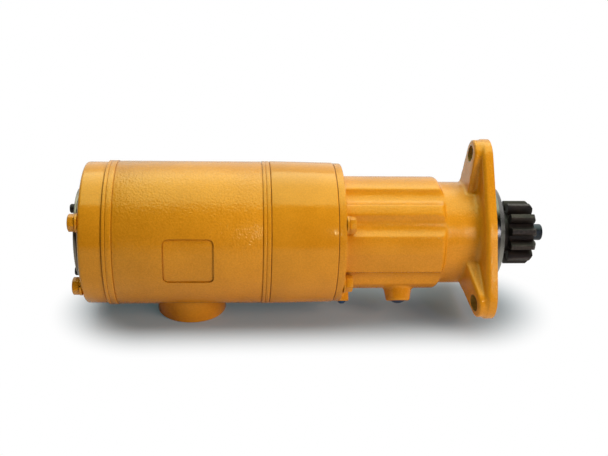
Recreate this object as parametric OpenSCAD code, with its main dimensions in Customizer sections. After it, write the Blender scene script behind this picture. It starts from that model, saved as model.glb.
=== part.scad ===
// Air starter motor: a vane motor with a planetary gear, and a pinion that slides out to meet a ring gear.
// The origin is the centre of the mounting flange's front face. +X runs along the shaft towards the pinion,
// +Z is up, and the air inlet looks down. Angles around the shaft are clock angles: 0 is up, 90 is the side
// of the motor with the square panel (-Y), 180 is down.

/* [Mounting flange] */
// Bolt circle of the three mounting holes
bolt_circle = 146.05; // [142:0.05:152]
// Diameter of each mounting hole
mount_hole_d = 13.5; // [11:0.25:16]
// Thickness of the flange plate
flange_t = 9; // [7:0.5:12]
// Radius of the flange plate between its lobes
flange_r = 57.5; // [55:0.5:60]
// Radius of the rounding of each lobe
lobe_r = 20; // [18:0.5:23]
// How far the centre of a lobe's rounding lies inside the bolt circle
lobe_inset = 8; // [6:0.5:10]
// Width of the rib behind each lobe, at the neck
rib_w = 30; // [29:0.5:34]
// Width of the rib round the mounting hole
rib_tip_w = 26; // [25:0.5:27.5]
// How far the rib stays inside the lobe's round end
rib_step = 0.5; // [0.3:0.1:1]
// Height of the rib's boss over the back of the plate
rib_boss_h = 5; // [3:0.5:7]
// Height of the rib over the back of the plate where it meets the neck
rib_root_h = 11.5; // [9:0.5:15]

/* [Pilot and nose] */
// Diameter of the pilot that centres the starter on its engine
pilot_d = 92.08; // [88:0.02:96]
// How far the pilot stands out of the flange face
pilot_h = 12; // [10:0.5:15]
// Length of the pilot's full diameter
pilot_straight = 6.5; // [4:0.5:9]
// Diameter of the pilot's front edge
pilot_nose_d = 80; // [76:0.5:86]
// Diameter of the pilot ring's tail, which sits in the drive housing
pilot_tail_d = 84; // [80:0.5:86]
// Length of the pilot ring's tail
pilot_tail = 8; // [6:0.5:10]
// Diameter of the shaft seal
seal_d = 52; // [46:0.5:58]
// Width of the shaft seal
seal_w = 7; // [5:0.5:9]

/* [Drive housing] */
// Length from the flange face to the rear face
drive_len = 130.7; // [124:0.1:140]
// Thickness of the rear flange of the housing
rear_flange_t = 6.7; // [5.5:0.1:9]
// Diameter of the rear flange of the housing
rear_flange_d = 119.6; // [118:0.2:122]
// Diameter of the round body
body_d = 98; // [96:0.5:100]
// Distance from the flange face to the body's rounded shoulder
shoulder_x = 39.6; // [36:0.2:44]
// Radius of the body's shoulder
shoulder_r = 4.2; // [3:0.1:4.6]
// Diameter of the neck behind the mounting flange
neck_d = 88.7; // [86:0.1:90]
// Radius of the fillet from the neck to the flange
neck_fillet = 5; // [3:0.5:7]
// Depth of each flute in the body
flute_depth = 4.4; // [3.5:0.1:4.6]
// Radius of each flute
flute_r = 12.4; // [11:0.2:15]
// Clock angle of the upper plain flute
flute_angle = 28.5; // [24:0.5:34]
// Bore of the piston's chamber
chamber_d = 79; // [77:0.5:81]
// Distance from the flange face to the chamber's front wall
chamber_x = 42; // [40:0.5:46]
// Clock angle of the flat pad on the body
pad_angle = 101; // [98:0.5:104]
// Width of the flat pad on the body
pad_w = 20.8; // [16:0.4:24]

/* [Control ports] */
// Clock angle of the two control ports
port_angle = 150; // [146:1:156]
// Distance from the shaft's axis to the ports' mouths
port_reach = 59; // [57:0.5:62]
// Distance from the flange face to the middle port
mid_port_x = 73; // [70:0.5:78]
// Diameter of the middle port's boss at its mouth
mid_boss_d = 19.2; // [18:0.2:22]
// Diameter of the middle port's thread
mid_port_d = 13.1; // [10:0.1:14]
// Distance from the housing's rear face to the rear port
rear_port_gap = 8.5; // [8:0.1:12]
// Diameter of the rear port's boss
rear_boss_d = 12.4; // [11:0.2:14]
// Diameter of the rear port's thread
rear_port_d = 7.2; // [6:0.1:8]
// Depth of the ports' threads
port_thread = 7; // [5:0.5:8]
// How far a plug's head stands out of its port
plug_h = 3.3; // [2:0.1:5]
// How far a plug's head is wider than its thread
plug_lip = 0.8; // [0.6:0.1:2]
// Room around a plug's head in its spot face
spot_room = 0.6; // [0.4:0.1:1.5]

/* [Gear case] */
// Length of the gear case
gear_case_len = 54.6; // [54:0.1:62]
// Diameter of the gear case at its front
gear_case_front_d = 120.8; // [118:0.2:122]
// Bore for the ring gear
gear_bore_d = 94; // [93:0.2:96]
// Thickness of the lip that holds the front end plate
lip_t = 4.5; // [3.5:0.1:6]
// Inner diameter of the lips that hold the end plates
lip_d = 76; // [74:0.5:78]
// Thickness of the wall behind the carrier bearing
bearing_wall_t = 3.5; // [2.5:0.1:4.5]

/* [Gears] */
// Module of the planetary gears
gear_module = 1.25; // [1.2:0.01:1.27]
// Teeth of the sun gear
sun_teeth = 18; // [18:6:18]
// Teeth of each planet gear
planet_teeth = 24; // [24:6:24]
// Number of planet gears
planet_count = 3; // [3:1:3]
// Width of the planet gears
planet_w = 18; // [15:0.5:18.5]
// Diameter of the planet pins
planet_pin_d = 10; // [8:0.5:11]
// Wall of the planet bushes
bush_wall = 2.5; // [1.5:0.1:2.8]
// Thickness of the carrier's disc
carrier_t = 12; // [9:0.5:13]
// Diameter of the carrier's disc
carrier_d = 86; // [80:0.5:88]
// Play taken off each tooth's thickness
tooth_play = 0.1; // [0.06:0.01:0.16]

/* [Vane motor] */
// Length of the motor housing
motor_len = 134.1; // [120:0.1:160]
// Diameter of the motor housing
motor_d = 122.6; // [121:0.2:126]
// Bore of the motor housing
motor_bore_d = 94; // [92:0.2:95]
// Width of the machined land at the rear of the motor housing
rear_land = 7.6; // [6:0.2:10]
// Width of the machined land at the front of the motor housing
front_land = 6.5; // [5:0.2:9]
// Depth by which the cast skin lies under the machined lands
skin_drop = 0.4; // [0.2:0.05:0.8]
// Width and depth of the fine groove in each land
groove = 0.8; // [0.5:0.1:1.2]
// Diameter of the rotor
rotor_d = 68; // [62:0.5:70]
// How far the cylinder's bore lies off the rotor's axis
bore_offset = 4; // [3:0.1:5]
// Smallest gap between the rotor and the cylinder
rotor_gap = 0.3; // [0.25:0.05:0.5]
// Number of vanes
vane_count = 5; // [4:1:6]
// Thickness of a vane
vane_t = 4; // [3:0.1:5]
// Depth of a vane slot
slot_depth = 18; // [14:0.5:19]
// Thickness of the rear end plate
rear_plate_t = 14; // [13:0.5:18]
// Thickness of the front end plate
front_plate_t = 17; // [15.5:0.5:20]
// Diameter of the dowel through the cylinder
dowel_d = 5; // [4:0.25:6]

/* [Air inlet and exhaust] */
// Distance from the flange face to the air inlet
inlet_x = 251.8; // [240:0.2:262]
// Diameter of the inlet boss
inlet_boss_d = 60; // [56:0.5:64]
// Distance from the shaft's axis down to the inlet's mouth
inlet_reach = 72.5; // [70:0.5:78]
// Diameter of the inlet's thread
inlet_d = 44.4; // [40:0.2:46]
// Depth of the inlet's thread
inlet_thread = 15; // [12:0.5:16]
// Diameter of the inlet's bore above its thread, which holds the strainer
inlet_bore_d = 39.4; // [36:0.2:41]
// Thickness of the strainer's plate
strainer_t = 1.2; // [0.8:0.1:2]
// How far the strainer sits above the thread
strainer_lift = 1; // [0.5:0.25:3]
// Distance between the strainer's rings of holes
strainer_step = 3.6; // [3:0.1:5]
// Diameter of the strainer's holes
strainer_hole_d = 2.4; // [1.6:0.1:2.6]
// Width of the cylinder's air slots, along the shaft
slot_w = 5; // [4:0.25:6]
// Length of the cylinder's air slots, across the shaft
slot_l = 28; // [22:1:32]
// Width of the exhaust channel in the motor housing
exhaust_w = 40; // [34:1:44]
// Depth of the exhaust channel in the motor housing
exhaust_depth = 7.5; // [6:0.25:8.5]
// Diameter of the exhaust opening in the rear cover
exhaust_d = 48; // [40:0.5:50]

/* [Square panel] */
// Length of the panel along the shaft
panel_w = 40.6; // [36:0.2:44]
// Height of the panel
panel_h = 38.2; // [34:0.2:42]
// Radius of the panel's corners
panel_corner = 4.5; // [3:0.25:6]
// Depth of the panel
panel_depth = 1; // [0.6:0.1:1.6]

/* [Rear cover] */
// Length of the rear cover with its gasket
cover_len = 19; // [17:0.5:24]
// Diameter of the rear cover
cover_d = 120; // [118:0.5:122]
// Thickness of the cover's end wall
cover_wall = 7; // [5:0.5:8]
// Rounding of the cover's rear edge
cover_round = 2.5; // [1.5:0.25:4]
// Diameter of the deflector disc
deflector_d = 76; // [72:0.5:84]
// Thickness of the deflector disc
deflector_t = 2.25; // [2:0.25:4]
// Gap behind the deflector disc for the exhaust
deflector_gap = 4.4; // [4.2:0.1:7]
// Outer diameter of the spacers under the deflector disc
deflector_spacer_d = 9; // [7:0.5:10]
// Radius of the circle of the deflector's screws
deflector_screw_r = 33; // [31.5:0.25:33.5]
// Diameter of the deflector's screws
deflector_screw_d = 4.4; // [3:0.2:5]
// Height of the deflector screws' heads
deflector_head_h = 3.8; // [2.5:0.1:4.5]
// How deep the deflector's screws go into the rear cover
deflector_screw_grip = 4; // [3:0.25:4.5]

/* [Housing screws] */
// Diameter of the housing screws
screw_d = 8; // [6.5:0.25:8.25]
// Width across flats of the screw heads
screw_af = 12.7; // [11.5:0.1:13.5]
// Height of the screw heads
screw_head_h = 6; // [4:0.25:8]
// Diameter of the lock washers
washer_d = 15.6; // [14.4:0.1:16]
// Thickness of the lock washers
washer_t = 1.7; // [1.2:0.1:2.2]
// Radius of the screw circle
screw_circle_r = 53; // [52.75:0.05:53.25]
// Clock angle of the drive housing's upper screws
drive_screw_angle = 60; // [58:0.5:62]
// Clock angle of the rear cover's upper screws
cover_screw_angle = 58; // [56:0.5:60]
// How deep the screws go into the gear case
screw_grip = 14; // [10:0.5:18]

/* [Drive piston] */
// Travel of the pinion from rest to full mesh
pinion_travel = 25; // [20:0.5:26]
// Length of the bulkhead from the drive housing's rear face
bulkhead_len = 18.2; // [17:0.2:20]
// Thickness of the bulkhead's rim
bulkhead_rim_t = 4.6; // [3.5:0.1:4.8]
// Diameter of the bulkhead's hub
bulkhead_hub_d = 66; // [62:0.5:70]
// Width of the seal in the bulkhead
bulkhead_seal_w = 7; // [5:0.5:9]
// Thickness of the piston's head
piston_t = 13; // [10:0.5:14]
// Length of the piston's hub
piston_hub_len = 15.7; // [15:0.1:17]
// Diameter of the piston's hub
piston_hub_d = 62; // [60:0.5:64]
// Width of the piston's seal
piston_seal_w = 4; // [3:0.25:5]
// Wire of the return spring
spring_wire_d = 4.4; // [3:0.2:4.6]
// Mean diameter of the return spring
spring_d = 62; // [58:0.5:66]
// Turns of the return spring
spring_turns = 3.5; // [3:0.5:4]

/* [Shafts and bearings] */
// Diameter of the drive shaft
drive_shaft_d = 35; // [34:0.1:35.5]
// Diameter of the drive shaft's shoulder in front of its bearing
shaft_shoulder_d = 40; // [38:0.5:42]
// Outer diameter of the splines between the carrier and the drive shaft
spline_d = 22; // [20:0.25:23]
// Depth of the splines
spline_depth = 2; // [1.5:0.1:2.2]
// Number of splines
spline_count = 10; // [6:1:12]
// How far the carrier's splines reach in front of the piston at rest
spline_reach = 21; // [14:0.5:24]
// Room in front of the carrier's splines in the drive shaft
spline_room = 12; // [8:0.5:16]
// Wall of the front bush
front_bush_wall = 3.5; // [2.5:0.1:4]
// Length of the front bush
front_bush_len = 28; // [22:0.5:28.5]
// Bore of the carrier bearing
carrier_bearing_bore = 35; // [34.5:0.1:35]
// Outer diameter of the carrier bearing
carrier_bearing_d = 62; // [60:0.5:66]
// Width of the carrier bearing
carrier_bearing_w = 12; // [10:0.5:12.5]
// Outer diameter of the piston bearing
piston_bearing_d = 55; // [53:0.5:56]
// Width of the piston bearing
piston_bearing_w = 10; // [8:0.5:11]
// Bore of the rotor's rear bearing
rear_bearing_bore = 17; // [15:0.5:18]
// Outer diameter of the rotor's rear bearing
rear_bearing_d = 40; // [36:0.5:44]
// Width of the rotor's rear bearing
rear_bearing_w = 10; // [8:0.5:11]
// Thickness of the cap that closes the rear bearing's pocket
bearing_cap_t = 1.6; // [1.2:0.1:2]
// Bore of the rotor's front bearing
front_bearing_bore = 20; // [18:0.5:22]
// Outer diameter of the rotor's front bearing
front_bearing_d = 47; // [43:0.5:50]
// Width of the rotor's front bearing
front_bearing_w = 14; // [12:0.5:14.5]
// Diameter of the rotor shaft in the sun gear
sun_bore_d = 13; // [11:0.5:14]

/* [Pinion] */
// Number of pinion teeth
pinion_teeth = 12; // [10:1:14]
// Module of the pinion
pinion_module = 4; // [3.8:0.02:4.04]
// Outer diameter of the pinion
pinion_d = 55.5; // [54:0.25:56]
// Width of the pinion
pinion_w = 21.6; // [18:0.2:26]
// Distance from the flange face to the pinion at rest
pinion_x = 22.8; // [20:0.2:28]
// Clock angle of one pinion tooth at rest
pinion_tooth_angle = 66; // [60:0.5:90]
// Chamfer on the front ends of the pinion teeth
pinion_chamfer = 2.2; // [1:0.1:3]
// Outer diameter of the splines under the pinion
pinion_spline_d = 29; // [27:0.25:30]
// Diameter of the washer in front of the pinion
pinion_washer_d = 30; // [26:0.5:34]
// Thickness of the washer in front of the pinion
pinion_washer_t = 1.6; // [1.2:0.1:2.5]
// Diameter of the pinion screw's head
pinion_screw_head_d = 14.4; // [13:0.2:18]
// Height of the pinion screw's head
pinion_screw_head_h = 10.8; // [7:0.2:12]
// Diameter of the pinion screw
pinion_screw_d = 9; // [8:0.5:11]

/* [Fits] */
// Thickness of the gaskets
gasket_t = 0.5; // [0.3:0.1:0.8]
// Radial play of parts that are fixed in each other
fixed_fit = 0.04; // [0.02:0.01:0.06]
// Radial play of parts that turn or slide in each other
running_fit = 0.06; // [0.04:0.01:0.09]
// Gap between parts that move past each other
free_gap = 0.3; // [0.25:0.05:0.4]

/* [Hidden] */
$fn = 96;

// Overlap that lets a cut break through a face
cut = 1;

// Stations along the shaft, from the flange face backwards
drive_rear = -drive_len;
gear_rear = drive_rear - gear_case_len;
motor_rear = gear_rear - motor_len;
cover_rear = motor_rear - cover_len;
cover_inside = cover_rear + cover_wall;
deflector_front = cover_rear - deflector_gap;
deflector_rear = deflector_front - deflector_t;

// Stations of the vane motor
cylinder_rear = motor_rear + rear_plate_t;
bearing_cap_front = motor_rear + bearing_cap_t;
cylinder_front = gear_rear - front_plate_t;
cylinder_r = motor_bore_d / 2 - fixed_fit;
cylinder_bore_r = rotor_d / 2 + bore_offset + rotor_gap;
rotor_rear = cylinder_rear + free_gap;
rotor_front = cylinder_front - free_gap;
slot_floor_r = rotor_d / 2 - slot_depth;
exhaust_r = motor_bore_d / 2 + exhaust_depth;
dowel_r = (cylinder_r + cylinder_bore_r - bore_offset) / 2;

// Stations of the planetary gear
lip_front = gear_rear + gasket_t + lip_t;
planet_rear = lip_front + 1;
planet_front = planet_rear + planet_w;
carrier_rear = planet_front + 0.8;
carrier_front = carrier_rear + carrier_t;
carrier_bearing_rear = drive_rear - carrier_bearing_w;
bearing_wall_rear = carrier_bearing_rear - bearing_wall_t;
sun_r = gear_module * sun_teeth / 2;
planet_r = gear_module * planet_teeth / 2;
orbit_r = sun_r + planet_r;
ring_teeth = sun_teeth + 2 * planet_teeth;
ring_r = gear_module * ring_teeth / 2;
sun_rear = gear_rear + 2;
sun_front = carrier_rear - 1.3;

// Stations of the drive piston and its shaft
bulkhead_rear = drive_rear + gasket_t;
bulkhead_front = bulkhead_rear + bulkhead_len;
bulkhead_rim_front = bulkhead_rear + bulkhead_rim_t;
piston_rear = bulkhead_front + free_gap;
piston_head_rear = piston_rear + piston_hub_len;
piston_front = piston_head_rear + piston_t;
shaft_rear = piston_rear + 0.8;
snap_ring_t = 1.2;
piston_bearing_rear = shaft_rear + snap_ring_t + 0.2;
piston_bearing_front = piston_bearing_rear + piston_bearing_w;
journal_front = bulkhead_front - 6;
spline_front = piston_front + spline_reach;
spline_bore_front = spline_front + spline_room;
pinion_front = pinion_x + pinion_w;
bush_front = -pilot_tail - 4;
nose_hub_r = drive_shaft_d / 2 + front_bush_wall + 4;
seal_rear = pilot_h - seal_w - 1;

// Radii and stations of the drive housing
rear_port_x = drive_len - rear_port_gap;
body_r = body_d / 2;
neck_r = neck_d / 2;
flute_centre_r = body_r - flute_depth + flute_r;
chamber_r = chamber_d / 2;
rim_r = chamber_r + 4.5;

// Clock angles of the screws, the flutes and the planets
drive_screw_angles = [drive_screw_angle, 180 - drive_screw_angle,
    180 + drive_screw_angle, 360 - drive_screw_angle];
cover_screw_angles = [cover_screw_angle, 180 - cover_screw_angle,
    180 + cover_screw_angle, 360 - cover_screw_angle];
flute_angles = concat(drive_screw_angles, [flute_angle, -flute_angle]);
lobe_angles = [0, 120, 240];
deflector_angles = [30, 150, 270];

// Lays a shape that was made along Z with its top in Y along the shaft, with its top up
module along_shaft() {
    rotate([90, 0, 90]) children();
}

// Turns children to a clock angle and moves them out from the axis and along it
module at_clock(angle, r = 0, x = 0) {
    rotate([0, 0, angle]) translate([0, r, x]) children();
}

// Points children, made along Z, outwards from the axis at a clock angle
module pointing_out(angle, x) {
    rotate([0, 0, angle]) translate([0, 0, x]) rotate([-90, 0, 0]) children();
}

// A disc from one station to another
module disc(from, to, r) {
    translate([0, 0, from]) cylinder(h = to - from, r = r);
}

// A ring from one station to another
module ring(from, to, r_out, r_in) {
    difference() {
        disc(from, to, r_out);
        disc(from - cut, to + cut, r_in);
    }
}

// A disc with one chamfered edge at its low or high end
module chamfered_disc(from, to, r, chamfer, low = true) {
    rotate_extrude()
        polygon(low
            ? [[0, from], [r - chamfer, from], [r, from + chamfer], [r, to], [0, to]]
            : [[0, from], [r, from], [r, to - chamfer], [r - chamfer, to], [0, to]]);
}

// Hexagon with one flat facing outwards
module hexagon(across_flats, h) {
    rotate([0, 0, 30]) cylinder(h = h, d = across_flats / cos(30), $fn = 6);
}

// Square with rounded corners, centred
module rounded_square(w, h, r) {
    square([w - 2 * r, h], center = true);
    square([w, h - 2 * r], center = true);
    for (u = [-1, 1], v = [-1, 1])
        translate([u * (w / 2 - r), v * (h / 2 - r)]) circle(r = r);
}

// Involute function, in degrees
function involute(a) = tan(a) * 180 / PI - a;

// Half of a tooth's angle at radius r, for a gear of the given pitch and base radius
function half_tooth(r, pitch_half, base_r) =
    pitch_half + involute(20) - involute(acos(min(1, base_r / r)));

// Outline of a gear with involute flanks and one tooth centred on the X axis of its plane
function gear_points(teeth, module_size, tip_r, root_r, play, steps = 4) =
    let (
        pitch_r = teeth * module_size / 2,
        base_r = pitch_r * cos(20),
        start_r = max(root_r, base_r),
        pitch_half = 90 / teeth - play / 2 / pitch_r * 180 / PI,
        radii = [for (i = [0:steps]) start_r + (tip_r - start_r) * i / steps],
        root_half = half_tooth(start_r, pitch_half, base_r)
    )
    [for (i = [0:teeth - 1]) let (c = i * 360 / teeth) each concat(
        root_r < start_r ? [polar(root_r, c - root_half)] : [],
        [for (r = radii) polar(r, c - half_tooth(r, pitch_half, base_r))],
        [for (k = [steps:-1:0]) polar(radii[k], c + half_tooth(radii[k], pitch_half, base_r))],
        root_r < start_r ? [polar(root_r, c + root_half)] : []
    )];

function polar(r, a) = [r * cos(a), r * sin(a)];

// Cross-section of a splined shaft or of the hole that it slides in
module spline_section(d, depth, count, play = 0) {
    circle(r = d / 2 - depth + play);
    key_w = PI * (d - depth) / count / 2 + 2 * play;
    for (i = [0:count - 1])
        rotate(i * 360 / count) translate([-key_w / 2, 0]) square([key_w, d / 2 + play]);
}

// Ball bearing with grooved races and balls
module ball_bearing(from, w, bore_r, outer_r, balls = 9) {
    mid_r = (bore_r + outer_r) / 2;
    ball_r = (outer_r - bore_r) * 0.28;
    race_gap = ball_r * 0.6;
    translate([0, 0, from]) {
        rotate_extrude() difference() {
            translate([bore_r, 0]) square([mid_r - race_gap - bore_r, w]);
            translate([mid_r, w / 2]) circle(r = ball_r + fixed_fit);
        }
        rotate_extrude() difference() {
            translate([mid_r + race_gap, 0]) square([outer_r - mid_r - race_gap, w]);
            translate([mid_r, w / 2]) circle(r = ball_r + fixed_fit);
        }
        for (i = [0:balls - 1])
            at_clock(i * 360 / balls, mid_r, w / 2) sphere(r = ball_r, $fn = 32);
    }
}

// Hex cap screw whose head's seat is at the origin, with its shank along +Z
module cap_screw(length) {
    translate([0, 0, -cut]) cylinder(h = length + cut, d = screw_d);
    translate([0, 0, -screw_head_h]) intersection() {
        hexagon(screw_af, screw_head_h);
        chamfered_disc(0, screw_head_h, screw_af / 2 / cos(30), 0.9);
    }
}

// Split lock washer that sits on a face at the origin, towards -Z
module lock_washer() {
    difference() {
        translate([0, 0, -washer_t]) cylinder(h = washer_t, d = washer_d);
        translate([0, 0, -washer_t - cut]) cylinder(h = washer_t + 2 * cut, d = screw_d + 2 * fixed_fit);
        rotate([0, 0, 35]) translate([0, -0.4, -washer_t - cut]) cube([washer_d, 0.8, washer_t + 2 * cut]);
    }
}

// Outline of the mounting flange: a round plate with three lobes, joined by tangents
module flange_outline() {
    lobe_centre_r = bolt_circle / 2 - lobe_inset;
    tangent_angle = acos((flange_r - lobe_r) / lobe_centre_r);
    circle(r = flange_r);
    for (a = lobe_angles) rotate(a) {
        translate([0, lobe_centre_r]) circle(r = lobe_r);
        polygon([
            [-flange_r * sin(tangent_angle), flange_r * cos(tangent_angle)],
            [-lobe_r * sin(tangent_angle), lobe_centre_r + lobe_r * cos(tangent_angle)],
            [lobe_r * sin(tangent_angle), lobe_centre_r + lobe_r * cos(tangent_angle)],
            [flange_r * sin(tangent_angle), flange_r * cos(tangent_angle)]]);
    }
}

// Rib behind a lobe: it makes the hole's boss and slopes down to the neck
module lobe_rib() {
    hole_r = bolt_circle / 2;
    boss_x = flange_t + rib_boss_h;
    root_x = flange_t + rib_root_h;
    intersection() {
        translate([0, 0, -root_x]) linear_extrude(root_x - flange_t / 2) {
            intersection() {
                translate([0, hole_r]) circle(d = rib_tip_w);
                translate([0, hole_r - lobe_inset]) circle(r = lobe_r - rib_step);
            }
            polygon([[-rib_w / 2, chamber_r], [rib_w / 2, chamber_r],
                [rib_tip_w / 2, hole_r], [-rib_tip_w / 2, hole_r]]);
        }
        translate([-rib_w, 0, 0]) rotate([0, 90, 0]) linear_extrude(2 * rib_w)
            polygon([[0, 0], [root_x + cut, 0], [root_x + cut, chamber_r], [root_x, neck_r - 2],
                [boss_x, hole_r - rib_tip_w / 2], [boss_x, 2 * hole_r], [0, 2 * hole_r]]);
    }
}

// Section of the drive housing's neck, with its fillet to the flange
module neck_section() {
    fillet_x = -flange_t - 0.9 * neck_fillet;
    translate([0, -shoulder_x - cut]) square([neck_r, shoulder_x + cut - flange_t / 2]);
    difference() {
        translate([0, fillet_x]) square([neck_r + neck_fillet, neck_fillet + flange_t / 2]);
        translate([neck_r + neck_fillet, fillet_x]) circle(r = neck_fillet);
    }
}

// Section of the drive housing's body, with its rounded shoulder
module body_section() {
    translate([0, drive_rear + gasket_t + 1])
        square([body_r, drive_len - gasket_t - 1 - shoulder_x - shoulder_r]);
    translate([0, drive_rear + gasket_t + 1])
        square([body_r - shoulder_r, drive_len - gasket_t - 1 - shoulder_x]);
    translate([body_r - shoulder_r, -shoulder_x - shoulder_r]) circle(r = shoulder_r);
}

// Casting of the drive housing before its bores are machined
module drive_casting() {
    difference() {
        rotate_extrude() body_section();
        for (a = flute_angles)
            at_clock(a, flute_centre_r, drive_rear) cylinder(h = drive_len, r = flute_r);
        pad_r = sqrt(body_r * body_r - pad_w * pad_w / 4);
        at_clock(pad_angle, pad_r, drive_rear) translate([-pad_w, 0, 0])
            cube([2 * pad_w, body_r, drive_len]);
    }
    chamfered_disc(drive_rear + gasket_t, drive_rear + rear_flange_t, rear_flange_d / 2, 0.8, false);
    rotate_extrude() neck_section();
    translate([0, 0, -flange_t]) linear_extrude(flange_t) flange_outline();
    for (a = lobe_angles) rotate([0, 0, a]) lobe_rib();
    pointing_out(port_angle, -mid_port_x) {
        translate([0, 0, chamber_r]) cylinder(h = body_r + cut - chamber_r, d = mid_boss_d + 4.8);
        translate([0, 0, body_r + cut])
            cylinder(h = port_reach - body_r - cut, d1 = mid_boss_d + 4.8, d2 = mid_boss_d);
    }
    pointing_out(port_angle, -rear_port_x) translate([0, 0, chamber_r])
        cylinder(h = port_reach - chamber_r, d = rear_boss_d);
}

// Threaded port with its drilling into the chamber, and a spot face around the plug's head
module port_bore(d, drilling_d) {
    translate([0, 0, port_reach]) cylinder(h = body_r, d = d + plug_lip + 2 * spot_room);
    translate([0, 0, port_reach - port_thread]) cylinder(h = port_thread + cut, d = d);
    translate([0, 0, chamber_r - 4]) cylinder(h = port_reach - chamber_r, d = drilling_d);
}

// Plug with a domed head for a threaded port
module port_plug(d) {
    stem_r = d / 2 - fixed_fit;
    head_d = d + plug_lip;
    rotate_extrude() {
        translate([0, port_reach - port_thread + 1]) square([stem_r, port_thread]);
        intersection() {
            translate([0, port_reach + fixed_fit]) square([head_d / 2, plug_h]);
            dome_r = (plug_h * plug_h + head_d * head_d / 4) / 2 / plug_h;
            translate([0, port_reach + plug_h - dome_r]) circle(r = dome_r);
        }
    }
}

module deflector_disc() {
    color("silver") along_shaft() difference() {
        chamfered_disc(deflector_rear, deflector_front, deflector_d / 2, 0.5);
        for (a = deflector_angles)
            at_clock(a, deflector_screw_r, deflector_rear - cut)
                cylinder(h = deflector_t + 2 * cut, d = deflector_screw_d + 2 * fixed_fit);
    }
}

module deflector_screws() {
    socket_d = deflector_screw_d * 0.8;
    color("dimgray") along_shaft() for (a = deflector_angles)
        at_clock(a, deflector_screw_r, deflector_rear) {
            cylinder(h = deflector_t + deflector_gap + deflector_screw_grip, d = deflector_screw_d);
            difference() {
                chamfered_disc(-deflector_head_h, 0, deflector_screw_d * 0.85, 0.8);
                translate([0, 0, -deflector_head_h - cut]) cylinder(h = 2 + cut, d = socket_d, $fn = 6);
            }
        }
}

module deflector_spacers() {
    color("silver") along_shaft() for (a = deflector_angles)
        at_clock(a, deflector_screw_r) ring(deflector_front, cover_rear, deflector_spacer_d / 2,
            deflector_screw_d / 2 + fixed_fit);
}

module rear_cover() {
    color("goldenrod") along_shaft() difference() {
        rotate_extrude() {
            translate([0, cover_rear]) square([cover_d / 2 - cover_round, cover_len - gasket_t]);
            translate([0, cover_rear + cover_round])
                square([cover_d / 2, cover_len - gasket_t - cover_round]);
            translate([cover_d / 2 - cover_round, cover_rear + cover_round]) circle(r = cover_round);
        }
        disc(cover_inside, motor_rear + cut, lip_d / 2);
        exhaust_channel(cover_inside, motor_rear + cut);
        disc(cover_rear - cut, cover_inside + cut, exhaust_d / 2);
        for (a = deflector_angles)
            at_clock(a, deflector_screw_r, cover_rear - cut)
                cylinder(h = deflector_screw_grip + 2 * cut, d = deflector_screw_d + 2 * fixed_fit);
        for (a = cover_screw_angles)
            at_clock(a, screw_circle_r, cover_rear - cut)
                cylinder(h = cover_len + 2 * cut, d = screw_d + 2 * free_gap);
    }
}

module rear_cover_screws() {
    length = cover_len + motor_len + washer_t + screw_grip;
    color("darkgoldenrod") along_shaft() for (a = cover_screw_angles)
        at_clock(a, screw_circle_r, cover_rear - washer_t) cap_screw(length);
}

module rear_cover_washers() {
    color("darkgoldenrod") along_shaft() for (a = cover_screw_angles)
        at_clock(a, screw_circle_r, cover_rear) lock_washer();
}

// Space of the exhaust channel over the cylinder, from one station to another
module exhaust_channel(from, to) {
    intersection() {
        disc(from, to, exhaust_r);
        translate([-exhaust_w / 2, 0, from]) cube([exhaust_w, exhaust_r, to - from]);
    }
}

// Flat gasket with screw holes
module gasket(from, r_out, r_in, angles) {
    color("black") along_shaft() difference() {
        ring(from, from + gasket_t, r_out, r_in);
        for (a = angles)
            at_clock(a, screw_circle_r, from - cut)
                cylinder(h = gasket_t + 2 * cut, d = screw_d + 2 * free_gap);
    }
}

module rear_gasket() {
    difference() {
        gasket(motor_rear - gasket_t, cover_d / 2 - 0.5, lip_d / 2, cover_screw_angles);
        along_shaft() exhaust_channel(motor_rear - gasket_t - cut, motor_rear + cut);
    }
}

module middle_gasket() {
    difference() {
        gasket(gear_rear, motor_d / 2 - 1, lip_d / 2, cover_screw_angles);
        along_shaft() at_clock(270, dowel_r, gear_rear - cut)
            cylinder(h = gasket_t + 2 * cut, d = dowel_d + 2 * free_gap);
    }
}

module front_gasket() {
    gasket(drive_rear, rear_flange_d / 2 - 0.5, bulkhead_hub_d / 2, drive_screw_angles);
}

// Outside of the motor housing: a cast skin between two machined lands with fine grooves
module motor_outside() {
    land_r = motor_d / 2;
    skin_r = land_r - skin_drop;
    rotate_extrude() difference() {
        union() {
            translate([0, motor_rear]) square([land_r, rear_land]);
            translate([0, motor_rear + rear_land - cut])
                square([skin_r, motor_len - rear_land - front_land + 2 * cut]);
            translate([0, gear_rear - front_land]) square([land_r, front_land]);
        }
        translate([land_r - groove / 2, motor_rear + rear_land / 3]) square([groove, groove]);
        translate([land_r - groove / 2, gear_rear - front_land * 0.6]) square([groove, groove]);
    }
}

module motor_housing() {
    skin_r = motor_d / 2 - skin_drop;
    color("goldenrod") along_shaft() difference() {
        union() {
            motor_outside();
            pointing_out(180, -inlet_x)
                chamfered_disc(motor_bore_d / 2 + 2, inlet_reach, inlet_boss_d / 2, 1.2, false);
        }
        disc(motor_rear - cut, gear_rear + cut, motor_bore_d / 2);
        exhaust_channel(motor_rear - cut, cylinder_front - front_plate_t);
        pointing_out(180, -inlet_x) {
            translate([0, 0, inlet_reach - inlet_thread]) cylinder(h = inlet_thread + cut, d = inlet_d);
            cylinder(h = inlet_reach, d = inlet_bore_d);
        }
        for (a = cover_screw_angles)
            at_clock(a, screw_circle_r, motor_rear - cut)
                cylinder(h = motor_len + 2 * cut, d = screw_d + 2 * free_gap);
        difference() {
            pointing_out(90, -inlet_x) translate([0, 0, motor_bore_d / 2])
                linear_extrude(motor_d) rotate(90) rounded_square(panel_w, panel_h, panel_corner);
            disc(motor_rear - cut, gear_rear + cut, skin_r - panel_depth);
        }
    }
}

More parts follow.
